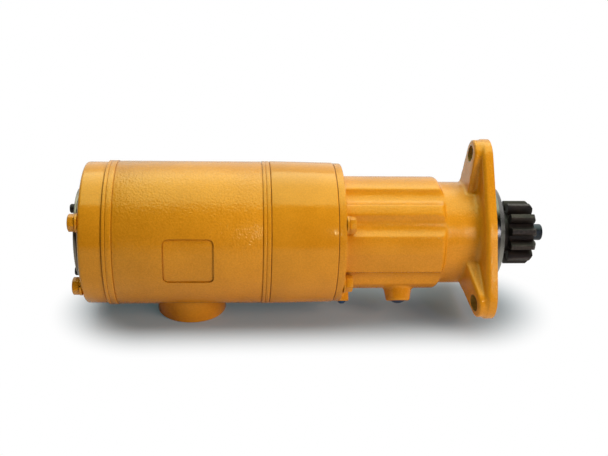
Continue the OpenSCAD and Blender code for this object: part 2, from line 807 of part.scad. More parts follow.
module inlet_strainer() {
    rings = floor((inlet_bore_d - strainer_hole_d - strainer_t) / 2 / strainer_step);
    low_face = inlet_reach - inlet_thread - strainer_lift;
    color("silver") along_shaft() pointing_out(180, -inlet_x)
        translate([0, 0, low_face - strainer_t]) linear_extrude(strainer_t)
            difference() {
                circle(d = inlet_bore_d - 2 * fixed_fit);
                circle(d = strainer_hole_d, $fn = 16);
                for (k = [1:rings], i = [0:6 * k - 1])
                    rotate(i * 60 / k) translate([k * strainer_step, 0])
                        circle(d = strainer_hole_d, $fn = 16);
            }
}

module cylinder_liner() {
    slots_x = [for (x = [cylinder_rear + 8:2 * slot_w:cylinder_front - 16]) x];
    inlet_slots = [for (x = slots_x)
        if (abs(x + slot_w / 2 + inlet_x) < inlet_bore_d / 2 - slot_w / 2) x];
    color("lightsteelblue") along_shaft() difference() {
        disc(cylinder_rear, cylinder_front, cylinder_r);
        at_clock(90, bore_offset, cylinder_rear - cut)
            cylinder(h = cylinder_front - cylinder_rear + 2 * cut, r = cylinder_bore_r);
        for (x = slots_x)
            translate([-slot_l / 2, 0, x]) cube([slot_l, cylinder_r + cut, slot_w]);
        for (x = inlet_slots)
            translate([-slot_l / 2, -cylinder_r - cut, x]) cube([slot_l, cylinder_r + cut, slot_w]);
        at_clock(270, dowel_r, cylinder_rear - cut)
            cylinder(h = cylinder_front - cylinder_rear + 2 * cut, d = dowel_d + 2 * fixed_fit);
    }
}

module cylinder_dowel() {
    color("silver") along_shaft() at_clock(270, dowel_r, motor_rear + 2)
        cylinder(h = motor_len - 2 + gasket_t + lip_t - 1.5, d = dowel_d);
}

// End plate of the vane motor, with a pocket for a bearing that opens to one side
module end_plate(from, to, pocket_from, pocket_to, pocket_d, shaft_d) {
    difference() {
        disc(from, to, cylinder_r);
        disc(pocket_from, pocket_to, pocket_d / 2 + fixed_fit);
        disc(from - cut, to + cut, shaft_d / 2 + 3);
        at_clock(270, dowel_r, from - cut)
            cylinder(h = to - from + 2 * cut, d = dowel_d + 2 * fixed_fit);
    }
}

module rear_end_plate() {
    color("gray") along_shaft()
        end_plate(motor_rear, cylinder_rear, motor_rear - cut, bearing_cap_front + rear_bearing_w,
            rear_bearing_d, rear_bearing_bore);
}

// The cap keeps the exhaust air out of the bearing. It is pressed in, and its rim rests on the outer race
module rear_bearing_cap() {
    color("silver") along_shaft() difference() {
        disc(motor_rear, bearing_cap_front, rear_bearing_d / 2);
        disc(bearing_cap_front - bearing_cap_t / 3, bearing_cap_front + cut, rear_bearing_d / 2 - 3);
    }
}

module rear_rotor_bearing() {
    color("silver") along_shaft()
        ball_bearing(bearing_cap_front, rear_bearing_w, rear_bearing_bore / 2 + running_fit,
            rear_bearing_d / 2);
}

module front_end_plate() {
    color("gray") along_shaft()
        end_plate(cylinder_front, gear_rear, gear_rear - front_bearing_w, gear_rear + cut,
            front_bearing_d, front_bearing_bore);
}

module front_rotor_bearing() {
    color("silver") along_shaft()
        ball_bearing(gear_rear - front_bearing_w, front_bearing_w, front_bearing_bore / 2 + running_fit,
            front_bearing_d / 2);
}

module rotor() {
    color("slategray") along_shaft() {
        difference() {
            disc(rotor_rear, rotor_front, rotor_d / 2);
            for (i = [0:vane_count - 1])
                at_clock(i * 360 / vane_count, slot_floor_r, rotor_rear - cut)
                    translate([-vane_t / 2 - fixed_fit, 0, 0])
                        cube([vane_t + 2 * fixed_fit, rotor_d, rotor_front - rotor_rear + 2 * cut]);
        }
        disc(bearing_cap_front, rotor_rear, rear_bearing_bore / 2);
        disc(rotor_front, sun_rear, front_bearing_bore / 2);
        disc(sun_rear, sun_front - 0.5, sun_bore_d / 2);
    }
}

module vanes() {
    color("saddlebrown") along_shaft() for (i = [0:vane_count - 1])
        at_clock(i * 360 / vane_count, slot_floor_r + fixed_fit, rotor_rear)
            translate([-vane_t / 2, 0, 0])
                cube([vane_t, slot_depth - 4 * fixed_fit, rotor_front - rotor_rear]);
}

module sun_gear() {
    color("dimgray") along_shaft() translate([0, 0, sun_rear]) linear_extrude(sun_front - sun_rear)
        difference() {
            polygon(gear_points(sun_teeth, gear_module, sun_r + gear_module,
                sun_r - 1.25 * gear_module, tooth_play));
            circle(d = sun_bore_d + 2 * fixed_fit);
        }
}

module gear_case() {
    front_r = gear_case_front_d / 2;
    rear_r = motor_d / 2;
    color("goldenrod") along_shaft() difference() {
        rotate_extrude() polygon([
            [lip_d / 2, gear_rear + gasket_t],
            [rear_r, gear_rear + gasket_t],
            [front_r, drive_rear],
            [carrier_bearing_d / 2 + fixed_fit, drive_rear],
            [carrier_bearing_d / 2 + fixed_fit, carrier_bearing_rear],
            [carrier_bearing_d / 2 - 3, carrier_bearing_rear],
            [carrier_bearing_d / 2 - 3, bearing_wall_rear],
            [gear_bore_d / 2, bearing_wall_rear],
            [gear_bore_d / 2, lip_front],
            [lip_d / 2, lip_front]]);
        for (a = cover_screw_angles)
            at_clock(a, screw_circle_r, gear_rear)
                cylinder(h = gasket_t + screw_grip + 3, d = screw_d + 2 * fixed_fit);
        for (a = drive_screw_angles)
            at_clock(a, screw_circle_r, drive_rear - screw_grip - 3)
                cylinder(h = screw_grip + 3 + cut, d = screw_d + 2 * fixed_fit);
        at_clock(270, dowel_r, gear_rear)
            cylinder(h = gasket_t + lip_t - 1, d = dowel_d + 2 * fixed_fit);
    }
}

module ring_gear() {
    color("dimgray") along_shaft() translate([0, 0, lip_front]) linear_extrude(planet_front - lip_front)
        difference() {
            circle(d = gear_bore_d - 2 * fixed_fit);
            rotate(180 / ring_teeth) polygon(gear_points(ring_teeth, gear_module,
                ring_r + 1.25 * gear_module, ring_r - gear_module, -tooth_play));
        }
}

// Planet gear number i, turned so that its teeth meet the sun and the ring gear
module planet_gear(i) {
    place = 90 + i * 360 / planet_count;
    turn = place + 180 - 180 / planet_teeth + place * sun_teeth / planet_teeth;
    color("dimgray") along_shaft() rotate([0, 0, place]) translate([orbit_r, 0, planet_rear])
        rotate([0, 0, turn - place]) linear_extrude(planet_w) difference() {
            polygon(gear_points(planet_teeth, gear_module, planet_r + gear_module,
                planet_r - 1.25 * gear_module, tooth_play));
            circle(d = planet_pin_d + 2 * bush_wall + 2 * fixed_fit);
        }
}

module planet_bush(i) {
    color("peru") along_shaft() at_clock(i * 360 / planet_count, orbit_r)
        ring(planet_rear, planet_front, planet_pin_d / 2 + bush_wall, planet_pin_d / 2 + running_fit);
}

module planet_gear_1() { planet_gear(0); }
module planet_gear_2() { planet_gear(1); }
module planet_gear_3() { planet_gear(2); }
module planet_bush_1() { planet_bush(0); }
module planet_bush_2() { planet_bush(1); }
module planet_bush_3() { planet_bush(2); }

module planet_pins() {
    head_r = planet_pin_d / 2 + bush_wall;
    color("silver") along_shaft() for (i = [0:planet_count - 1])
        at_clock(i * 360 / planet_count, orbit_r) {
            disc(planet_rear - free_gap, carrier_front, planet_pin_d / 2);
            disc(planet_rear - free_gap - 1.5, planet_rear - free_gap, head_r);
        }
}

module planet_carrier() {
    color("slategray") along_shaft() difference() {
        union() {
            disc(carrier_rear, carrier_front, carrier_d / 2);
            disc(carrier_front, carrier_bearing_rear, carrier_bearing_bore / 2 + 4);
            disc(carrier_bearing_rear, journal_front, carrier_bearing_bore / 2);
            translate([0, 0, journal_front]) linear_extrude(spline_front - journal_front)
                spline_section(spline_d, spline_depth, spline_count);
        }
        for (i = [0:planet_count - 1])
            at_clock(i * 360 / planet_count, orbit_r, carrier_rear - cut)
                cylinder(h = carrier_t + 2 * cut, d = planet_pin_d + 2 * fixed_fit);
    }
}

module carrier_bearing() {
    color("silver") along_shaft()
        ball_bearing(carrier_bearing_rear, carrier_bearing_w, carrier_bearing_bore / 2 + running_fit,
            carrier_bearing_d / 2, 11);
}

module bulkhead() {
    seal_r = carrier_bearing_bore / 2 + 4.5;
    color("gray") along_shaft() difference() {
        union() {
            disc(bulkhead_rear, bulkhead_rim_front, rim_r - fixed_fit);
            disc(bulkhead_rim_front, bulkhead_front, bulkhead_hub_d / 2);
        }
        disc(bulkhead_rear - cut, bulkhead_front + cut, carrier_bearing_bore / 2 + 1);
        disc(bulkhead_rear - cut, bulkhead_rear + bulkhead_seal_w, seal_r);
    }
}

module bulkhead_seal() {
    color("black") along_shaft() ring(bulkhead_rear, bulkhead_rear + bulkhead_seal_w - fixed_fit,
        carrier_bearing_bore / 2 + 4.5 - fixed_fit, carrier_bearing_bore / 2 + running_fit);
}

module piston() {
    color("lightslategray") along_shaft() difference() {
        union() {
            disc(piston_rear, piston_head_rear + cut, piston_hub_d / 2);
            disc(piston_head_rear, piston_front, chamber_r - running_fit);
        }
        disc(piston_rear - cut, piston_front + cut, shaft_shoulder_d / 2 + 1);
        disc(piston_rear - cut, piston_bearing_front, piston_bearing_d / 2 + fixed_fit);
        ring(piston_head_rear + piston_seal_w, piston_head_rear + 2 * piston_seal_w,
            chamber_r + cut, chamber_r - 4);
        ring(piston_bearing_rear - snap_ring_t - fixed_fit, piston_bearing_rear - fixed_fit,
            piston_bearing_d / 2 + 1.5, piston_bearing_d / 2 - 1);
    }
}

module piston_seal() {
    color("black") along_shaft() ring(piston_head_rear + piston_seal_w + fixed_fit,
        piston_head_rear + 2 * piston_seal_w - fixed_fit,
        chamber_r - running_fit, chamber_r - 4 + fixed_fit);
}

module piston_bearing() {
    color("silver") along_shaft()
        ball_bearing(piston_bearing_rear, piston_bearing_w, drive_shaft_d / 2 + running_fit,
            piston_bearing_d / 2, 11);
}

// Open snap ring
module snap_ring(from, r_out, r_in) {
    difference() {
        ring(from, from + snap_ring_t - 2 * fixed_fit, r_out, r_in);
        translate([-2, 0, from - cut]) cube([4, r_out + cut, snap_ring_t + 2 * cut]);
    }
}

module piston_snap_ring() {
    color("dimgray") along_shaft() snap_ring(piston_bearing_rear - snap_ring_t,
        piston_bearing_d / 2 + 1.3, piston_bearing_d / 2 - 2);
}

module shaft_snap_ring() {
    color("dimgray") along_shaft() snap_ring(piston_bearing_rear - snap_ring_t,
        drive_shaft_d / 2 + 2, drive_shaft_d / 2 - 1);
}

// Height of the spring's centre line after u turns: closed at both ends
function spring_z(u, length, closed = 0.75) =
    let (w = spring_wire_d * 1.02, open = length - spring_wire_d - 2 * closed * w)
    spring_wire_d / 2 + (u <= closed ? u * w
        : u >= spring_turns - closed ? length - spring_wire_d - (spring_turns - u) * w
        : closed * w + open * (u - closed) / (spring_turns - 2 * closed));

module return_spring() {
    length = -chamber_x - piston_front - 2 * fixed_fit;
    steps = ceil(spring_turns * 24);
    sides = 10;
    points = [for (i = [0:steps], k = [0:sides - 1])
        let (
            u = spring_turns * i / steps,
            a = 360 * u,
            r = spring_d / 2 + spring_wire_d / 2 * cos(360 * k / sides),
            z = spring_z(u, length) + spring_wire_d / 2 * sin(360 * k / sides)
        )
        [r * cos(a), r * sin(a), z]];
    sides_list = [for (i = [0:steps - 1], k = [0:sides - 1])
        let (n = (k + 1) % sides)
        [i * sides + k, i * sides + n, (i + 1) * sides + n, (i + 1) * sides + k]];
    first = [for (k = [sides - 1:-1:0]) k];
    last = [for (k = [0:sides - 1]) steps * sides + k];
    color("gray") along_shaft() translate([0, 0, piston_front + fixed_fit])
        polyhedron(points, concat([first, last], sides_list));
}

module drive_shaft() {
    shaft_r = drive_shaft_d / 2;
    color("dimgray") along_shaft() difference() {
        union() {
            disc(shaft_rear, pinion_x, shaft_r);
            disc(piston_bearing_front, piston_front - 4, shaft_shoulder_d / 2);
            translate([0, 0, pinion_x]) linear_extrude(pinion_w - 0.5)
                spline_section(pinion_spline_d, spline_depth, spline_count);
        }
        translate([0, 0, shaft_rear - cut]) linear_extrude(spline_bore_front - shaft_rear + cut)
            spline_section(spline_d, spline_depth, spline_count, running_fit);
        ring(piston_bearing_rear - snap_ring_t - fixed_fit, piston_bearing_rear - fixed_fit,
            shaft_r + cut, shaft_r - 1.2);
        disc(pinion_x - 8, pinion_front + cut, pinion_screw_d / 2 + fixed_fit);
    }
}

module front_bush() {
    color("peru") along_shaft() ring(bush_front - front_bush_len, bush_front,
        drive_shaft_d / 2 + front_bush_wall - fixed_fit, drive_shaft_d / 2 + running_fit);
}

module shaft_seal() {
    color("black") along_shaft() ring(seal_rear, seal_rear + seal_w - fixed_fit,
        seal_d / 2 - fixed_fit, drive_shaft_d / 2 + running_fit);
}

module drive_housing() {
    core_r = pilot_tail_d / 2 - 6;
    color("goldenrod") along_shaft() difference() {
        drive_casting();
        disc(drive_rear, -chamber_x, chamber_r);
        disc(drive_rear, bulkhead_rim_front, rim_r);
        disc(-chamber_x - cut, cut, drive_shaft_d / 2 + front_bush_wall);
        disc(-pilot_tail, cut, pilot_tail_d / 2 + fixed_fit);
        ring(-chamber_x + 9, -pilot_tail + cut, core_r, nose_hub_r);
        for (a = lobe_angles)
            at_clock(a, bolt_circle / 2, -flange_t - rib_root_h)
                cylinder(h = flange_t + rib_root_h + cut, d = mount_hole_d);
        for (a = drive_screw_angles)
            at_clock(a, screw_circle_r, drive_rear)
                cylinder(h = rear_flange_t + cut, d = screw_d + 2 * free_gap);
        pointing_out(port_angle, -mid_port_x) port_bore(mid_port_d, 7);
        pointing_out(port_angle, -rear_port_x) port_bore(rear_port_d, 4);
    }
}

module drive_housing_screws() {
    length = rear_flange_t + washer_t + screw_grip;
    color("darkgoldenrod") along_shaft() for (a = drive_screw_angles)
        at_clock(a, screw_circle_r, drive_rear + rear_flange_t + washer_t)
            rotate([180, 0, 0]) cap_screw(length);
}

module drive_housing_washers() {
    color("darkgoldenrod") along_shaft() for (a = drive_screw_angles)
        at_clock(a, screw_circle_r, drive_rear + rear_flange_t) rotate([180, 0, 0]) lock_washer();
}

module middle_port_plug() {
    color("steelblue") along_shaft() pointing_out(port_angle, -mid_port_x)
        port_plug(mid_port_d);
}

module rear_port_plug() {
    color("steelblue") along_shaft() pointing_out(port_angle, -rear_port_x)
        port_plug(rear_port_d);
}

module pilot_ring() {
    color("gray") along_shaft() difference() {
        rotate_extrude() polygon([
            [drive_shaft_d / 2 + 2, -pilot_tail],
            [pilot_tail_d / 2, -pilot_tail],
            [pilot_tail_d / 2, 0],
            [pilot_d / 2, 0],
            [pilot_d / 2, pilot_straight],
            [pilot_nose_d / 2, pilot_h],
            [drive_shaft_d / 2 + 2, pilot_h]]);
        disc(seal_rear, pilot_h + cut, seal_d / 2);
    }
}

module pinion() {
    tip_r = pinion_d / 2;
    root_r = pinion_module * (pinion_teeth / 2 - 1.25);
    color("#222222") along_shaft() translate([0, 0, pinion_x]) difference() {
        intersection() {
            rotate([0, 0, 90 + pinion_tooth_angle]) linear_extrude(pinion_w)
                polygon(gear_points(pinion_teeth, pinion_module, tip_r, root_r, -0.6, 6));
            chamfered_disc(0, pinion_w, tip_r, pinion_chamfer, false);
        }
        translate([0, 0, -cut]) linear_extrude(pinion_w + 2 * cut)
            spline_section(pinion_spline_d, spline_depth, spline_count, fixed_fit);
    }
}

module pinion_washer() {
    color("#222222") along_shaft() ring(pinion_front, pinion_front + pinion_washer_t,
        pinion_washer_d / 2, pinion_screw_d / 2 + fixed_fit);
}

module pinion_screw() {
    seat = pinion_front + pinion_washer_t;
    color("#26303a") along_shaft() difference() {
        union() {
            disc(pinion_x - 6, seat + cut, pinion_screw_d / 2);
            rotate_extrude() {
                translate([0, seat])
                    square([pinion_screw_head_d / 2, pinion_screw_head_h - 1.5]);
                translate([0, seat]) square([pinion_screw_head_d / 2 - 1.5, pinion_screw_head_h]);
                translate([pinion_screw_head_d / 2 - 1.5, seat + pinion_screw_head_h - 1.5])
                    circle(r = 1.5);
            }
        }
        translate([0, 0, seat + pinion_screw_head_h / 2])
            cylinder(h = pinion_screw_head_h, d = pinion_screw_head_d / 2, $fn = 6);
    }
}

deflector_disc();
deflector_screws();
deflector_spacers();
rear_cover();
rear_cover_screws();
rear_cover_washers();
rear_gasket();
motor_housing();
inlet_strainer();
cylinder_liner();
cylinder_dowel();
rear_end_plate();
rear_bearing_cap();
rear_rotor_bearing();
front_end_plate();
front_rotor_bearing();
rotor();
vanes();
sun_gear();
middle_gasket();
gear_case();
ring_gear();
planet_gear_1();
planet_gear_2();
planet_gear_3();
planet_bush_1();
planet_bush_2();
planet_bush_3();
planet_pins();
planet_carrier();
carrier_bearing();
front_gasket();
bulkhead();
bulkhead_seal();
piston();
piston_seal();
piston_bearing();
piston_snap_ring();
shaft_snap_ring();
return_spring();
drive_shaft();
front_bush();
shaft_seal();
drive_housing();
drive_housing_screws();
drive_housing_washers();
middle_port_plug();
rear_port_plug();
pilot_ring();
pinion();
pinion_washer();
pinion_screw();
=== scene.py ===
import math

import bpy
from mathutils import Matrix, Vector


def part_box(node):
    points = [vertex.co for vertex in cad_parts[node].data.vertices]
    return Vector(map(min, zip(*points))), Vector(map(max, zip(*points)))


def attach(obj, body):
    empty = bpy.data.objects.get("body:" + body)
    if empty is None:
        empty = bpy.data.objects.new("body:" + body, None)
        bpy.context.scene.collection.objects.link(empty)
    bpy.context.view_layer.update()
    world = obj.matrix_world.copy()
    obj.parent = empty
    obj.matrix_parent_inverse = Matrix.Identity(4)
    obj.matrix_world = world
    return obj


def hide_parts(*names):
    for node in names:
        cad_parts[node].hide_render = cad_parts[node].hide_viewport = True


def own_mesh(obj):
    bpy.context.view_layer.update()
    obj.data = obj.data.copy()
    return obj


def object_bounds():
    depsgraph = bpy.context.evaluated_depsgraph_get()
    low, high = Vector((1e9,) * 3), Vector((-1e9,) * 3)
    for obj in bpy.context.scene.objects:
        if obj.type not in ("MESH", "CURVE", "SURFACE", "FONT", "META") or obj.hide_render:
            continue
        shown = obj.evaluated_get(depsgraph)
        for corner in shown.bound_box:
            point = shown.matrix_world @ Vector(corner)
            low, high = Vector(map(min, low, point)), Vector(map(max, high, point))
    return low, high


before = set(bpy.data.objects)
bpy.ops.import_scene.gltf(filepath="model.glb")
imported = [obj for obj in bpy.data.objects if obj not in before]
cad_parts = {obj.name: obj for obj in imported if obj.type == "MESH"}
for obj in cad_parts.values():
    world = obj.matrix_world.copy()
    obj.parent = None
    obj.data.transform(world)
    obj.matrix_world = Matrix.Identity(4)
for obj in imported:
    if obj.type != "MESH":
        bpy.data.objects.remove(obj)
cad_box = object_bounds()

# The camera stands in front of the motor's panel side, a little above it, with a normal lens.
# Its place, its tilt and its lens were fitted to the flange's bolt circle in the photograph.
camera_right = Vector((0.99639, -0.07751, 0.03463))
camera_up = Vector((-0.00041, 0.40351, 0.91497))
camera_back = camera_right.cross(camera_up)
bpy.ops.object.camera_add(location=(-0.218, -0.6834, 0.3052))
camera = bpy.context.object
camera.rotation_euler = Matrix((camera_right, camera_up, camera_back)).transposed().to_euler()
camera.data.lens = 51.13
camera.data.sensor_width = 36
camera.data.clip_start = 0.01
bpy.context.scene.camera = camera
bpy.context.scene.view_settings.view_transform = "Standard"

# The floor is a sheet of white studio paper, on which the motor stands with its inlet boss. Near the motor
# the paper takes the shadow, inside a painted zone round a line under the motor, and further away it is lit
# up to plain white, as a backdrop is. In that zone the camera sees the paper tinted blue, with a dim bluish
# glow painted into the shade, so that the shadow shows grey.
floor_size = 12
floor_centre = (-0.15, 0, cad_box[0][2])
shadow_half_len = 0.14
shadow_r = 0.03
white_r = 0.088
mirror_share = 0.4
glow_share = 0.41
glow_strength = 0.13
glow_colour = (0.63, 1.32, 1.42, 1)
painted_shade_tint = (0.63, 0.64, 0.86, 1)
bounce_colour = (0.76, 0.695, 0.74, 1)
white = (1, 1, 1, 1)


class Wire:
    """One output of a shader node. Python's own signs add Math nodes to it."""

    def __init__(self, tree, socket=None):
        self.tree = tree
        self.socket = socket

    def node(self, kind, settings=None, sockets=None, output=0):
        """Add a node, set it, fill or link its sockets, and return one of its outputs."""
        made = self.tree.nodes.new(kind)
        for name, value in (settings or {}).items():
            setattr(made, name, value)
        for name, value in (sockets or {}).items():
            if isinstance(value, Wire):
                self.tree.links.new(value.socket, made.inputs[name])
            else:
                made.inputs[name].default_value = value
        return Wire(self.tree, made.outputs[output] if len(made.outputs) else None)

    def __add__(self, other):
        return self.node("ShaderNodeMath", {"operation": "ADD"}, {0: self, 1: other})

    def __sub__(self, other):
        return self.node("ShaderNodeMath", {"operation": "SUBTRACT"}, {0: self, 1: other})

    def __rsub__(self, other):
        return self.node("ShaderNodeMath", {"operation": "SUBTRACT"}, {0: other, 1: self})

    def __mul__(self, other):
        return self.node("ShaderNodeMath", {"operation": "MULTIPLY"}, {0: self, 1: other})

    def __pow__(self, other):
        return self.node("ShaderNodeMath", {"operation": "POWER"}, {0: self, 1: other})

    __radd__ = __add__
    __rmul__ = __mul__


def band(value, low, high):
    """A wire that runs smoothly from 0 where value is low to 1 where it is high."""
    return value.node("ShaderNodeMapRange", {"interpolation_type": "SMOOTHSTEP"},
                      {"Value": value, "From Min": low, "From Max": high})


def tint(mask, low, high):
    """The colour low where mask is 0 and the colour high where it is 1."""
    return mask.node("ShaderNodeMix", {"data_type": "RGBA"}, {0: mask, 6: low, 7: high}, 2)


def part_of(place, axis):
    """One coordinate of a place."""
    return place.node("ShaderNodeSeparateXYZ", sockets={0: place}, output=axis)


def ray_kinds(start):
    """Whether a ray comes straight from the camera, by a mirror or through glass."""
    return [start.node("ShaderNodeLightPath", output=f"Is {kind} Ray")
            for kind in ("Camera", "Glossy", "Transmission")]


bpy.ops.object.select_all(action="DESELECT")
bpy.ops.mesh.primitive_plane_add(size=floor_size, location=floor_centre)
floor = bpy.context.object
floor.name = "studio_paper"
paper = bpy.data.materials.new("studio_paper")
paper.use_nodes = True
paper.node_tree.nodes.clear()
start = Wire(paper.node_tree)
ground = start.node("ShaderNodeTexCoord", output="Object")
# The shadow's reach is painted: beyond a rounded zone round a line under the motor the paper glows white.
past_end = start.node("ShaderNodeMath", {"operation": "ABSOLUTE"}, {0: part_of(ground, "X")})
past_end = start.node("ShaderNodeMath", {"operation": "MAXIMUM"}, {0: past_end - shadow_half_len, 1: 0.0})
beside = part_of(ground, "Y")
away = (past_end ** 2.0 + beside * beside) ** 0.5
whiteness = band(away, shadow_r, white_r)
by_camera, by_mirror, through_glass = ray_kinds(start)
seen = by_camera + mirror_share * by_mirror + through_glass
lit = start.node("ShaderNodeEmission", sockets={"Color": white, "Strength": 1.0})
# Painted shade colour: a dim bluish glow mixed into the shade, and a blue tint of the paper seen by the
# camera.
shadow_glow = start.node("ShaderNodeEmission", sockets={"Color": glow_colour, "Strength": glow_strength})
matt = start.node("ShaderNodeBsdfDiffuse", sockets={"Color": tint(by_camera, bounce_colour, painted_shade_tint)})
shade = start.node("ShaderNodeMixShader", sockets={0: glow_share * seen, 1: matt, 2: shadow_glow})
sheet = start.node("ShaderNodeMixShader", sockets={0: whiteness * seen, 1: shade, 2: lit})
start.node("ShaderNodeOutputMaterial", sockets={"Surface": sheet})
floor.data.materials.append(paper)

# Studio light: one wide soft box over the motor and behind it, and a smaller, warmer one at the right of
# the camera, so the nose is lit more than the rear cover. A small bare lamp makes the sparkle on the neck.
room = 0.05
dark_front = 0.15
backdrop_low = 0.1
backdrop_high = 0.6
world = bpy.data.worlds.new("studio")
bpy.context.scene.world = world
world.use_nodes = True
world.node_tree.nodes.clear()
sky = Wire(world.node_tree)
direction = sky.node("ShaderNodeTexCoord", output="Generated")
behind = band(part_of(direction, "Y"), backdrop_low, backdrop_high)
by_camera, by_mirror, through_glass = ray_kinds(sky)
white_part = by_camera + through_glass + by_mirror * (behind - dark_front * (1 - behind))
strength = room + (1 - room) * white_part
backdrop = sky.node("ShaderNodeBackground", sockets={"Color": white, "Strength": strength})
sky.node("ShaderNodeOutputWorld", sockets={"Surface": backdrop})


def soft_box(name, place, target, width, height, radiance, colour):
    """An area light that faces its target, as bright as the radiance says whatever its size."""
    bpy.ops.object.light_add(type="AREA", location=place)
    lamp = bpy.context.object
    lamp.name = name
    lamp.rotation_euler = (Vector(target) - Vector(place)).to_track_quat("-Z", "Y").to_euler()
    lamp.data.shape = "RECTANGLE"
    lamp.data.size = width
    lamp.data.size_y = height
    lamp.data.energy = radiance * width * height * math.pi
    lamp.data.color = colour
    return lamp


soft_box("overhead_bank", place=(0.0, 0.28, 1.05), target=(0.0, 0.28, 0), width=1.6, height=1.48,
         radiance=2.4, colour=(0.98, 1.13, 0.88))
front_box = soft_box("front_box", place=(0.5, -0.6, 0.4), target=(-0.05, 0, 0), width=0.4, height=0.4,
                     radiance=9.5, colour=(1, 0.84, 0.55))
front_box.visible_glossy = False
soft_box("bare_lamp", place=(0.22, -0.75, 0.33), target=(-0.03, 0, 0), width=0.05, height=0.05,
         radiance=84, colour=(0.95, 0.98, 1.15))

# The motor housing is the big casting that holds the vane motor: a grey iron tube with the threaded inlet
# boss that it stands on, and a shallow panel with a fine groove round its floor. It is cast, turned on two
# lands at its ends, bored, and painted yellow.
housing_low, housing_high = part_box("motor_housing")
motor_rear, motor_front = housing_low.x, housing_high.x
land_r = housing_high.z
skin_r = land_r - 0.0004
motor_bore_r = 0.047
motor_edge = 0.00012
rear_land_end = motor_rear + 0.0076
front_land_end = motor_front - 0.0062
land_edge = 0.0003
groove_w = 0.0006
groove_depth = 0.0007
rear_groove = motor_rear + 0.0025
front_groove = motor_front - 0.0032
inlet_x = -0.2518
inlet_reach = -housing_low.z
inlet_boss_r = 0.030
inlet_boss_root = 0.05
inlet_boss_edge = 0.0011
inlet_bore_r = 0.0197
inlet_bore_end = 0.03
inlet_thread_r = 0.0222
inlet_thread_len = 0.015
thread_pitch = 0.0022
thread_depth = 0.0011
thread_start = inlet_reach - 0.0009
thread_mouth = inlet_reach + 0.001
thread_mouth_r = inlet_thread_r + 0.0012
panel_w = 0.0406
panel_h = 0.0382
panel_corner = 0.0045
panel_floor_r = skin_r - 0.001
panel_groove_w = 0.0007
panel_groove_depth = 0.0006
panel_groove_overlap = 0.0001
panel_tool_near = 0.05
panel_tool_len = 0.03
panel_core_reach = 0.05
groove_core_r = 0.055
weld = 0.000001
paint_dark = (0.58, 0.218, 0.01, 1)
paint_light = (0.76, 0.305, 0.02, 1)
paint_sheen = (1, 0.96, 0.45, 1)


def lay_out(name, outline):
    """A wire through the points of a closed outline, drawn as (x, z) and left in edit mode."""
    bpy.ops.object.select_all(action="DESELECT")
    bpy.ops.mesh.primitive_plane_add(size=0.001)
    piece = bpy.context.object
    piece.name = name
    piece.data.name = name
    bpy.ops.object.mode_set(mode="EDIT")
    bpy.ops.mesh.select_all(action="SELECT")
    bpy.ops.mesh.merge(type="CENTER")
    x, z = outline[0]
    bpy.ops.transform.translate(value=(x, 0, z))
    for (x, z), (next_x, next_z) in zip(outline, outline[1:] + outline[:1]):
        bpy.ops.mesh.extrude_vertices_move(TRANSFORM_OT_translate={"value": (next_x - x, 0, next_z - z)})
    bpy.ops.mesh.select_all(action="SELECT")
    bpy.ops.mesh.remove_doubles(threshold=weld)
    return piece


def changed(piece, name, kind, **settings):
    """A piece with one modifier set and applied."""
    modifier = piece.modifiers.new(name, kind)
    for setting, value in settings.items():
        setattr(modifier, setting, value)
    bpy.context.view_layer.objects.active = piece
    bpy.ops.object.modifier_apply(modifier=modifier.name)
    return piece


def edges_broken(piece, width):
    """A piece with its sharp edges bevelled by a small width."""
    return changed(piece, "broken_edges", "BEVEL", width=width, segments=2, limit_method="ANGLE",
                   angle_limit=math.radians(25))


def turned(name, outline, edge=0, steps=192):
    """A piece turned on the lathe: its outline, as (x, radius), spun round the shaft, with broken edges."""
    piece = lay_out(name, outline)
    bpy.ops.mesh.spin(steps=steps, angle=math.tau, center=(0, 0, 0), axis=(1, 0, 0))
    bpy.ops.mesh.select_all(action="SELECT")
    bpy.ops.mesh.remove_doubles(threshold=weld)
    bpy.ops.mesh.normals_make_consistent(inside=False)
    bpy.ops.object.mode_set(mode="OBJECT")
    return edges_broken(piece, edge) if edge else piece


def pick(*pieces):
    """Select these pieces alone, with the first of them active."""
    bpy.ops.object.select_all(action="DESELECT")
    for piece in pieces:
        piece.select_set(True)
    bpy.context.view_layer.objects.active = pieces[0]


def settle():
    """Put the place, the turn and the size of the selected piece into its mesh."""
    bpy.ops.object.transform_apply(location=True, rotation=True, scale=True)


def pointed(piece, place, direction):
    """A turned piece with its shaft's axis moved onto a line through a place."""
    pick(piece)
    piece.rotation_euler = Vector(direction).to_track_quat("X", "Z").to_euler()
    piece.location = place
    settle()
    return piece


def rod(start, end, radius, end_radius=None, sides=64):
    """A round bar or a cone from one point to another, to add to a piece or to cut from it."""
    bpy.ops.object.select_all(action="DESELECT")
    run = Vector(end) - Vector(start)
    bpy.ops.mesh.primitive_cone_add(
        vertices=sides, radius1=radius, radius2=radius if end_radius is None else end_radius,
        depth=run.length, location=(Vector(start) + Vector(end)) / 2,
        rotation=run.to_track_quat("Z", "Y").to_euler())
    settle()
    return bpy.context.object


def joined(*pieces):
    """Loose pieces joined into the first of them."""
    pick(*pieces)
    bpy.ops.object.join()
    return pieces[0]


def worked(piece, *tools, how="DIFFERENCE"):
    """A piece with tools cut from it, added to it or kept in common with it."""
    tool = joined(*tools)
    changed(piece, "work", "BOOLEAN", operation=how, solver="EXACT", object=tool)
    bpy.data.objects.remove(tool)
    return piece


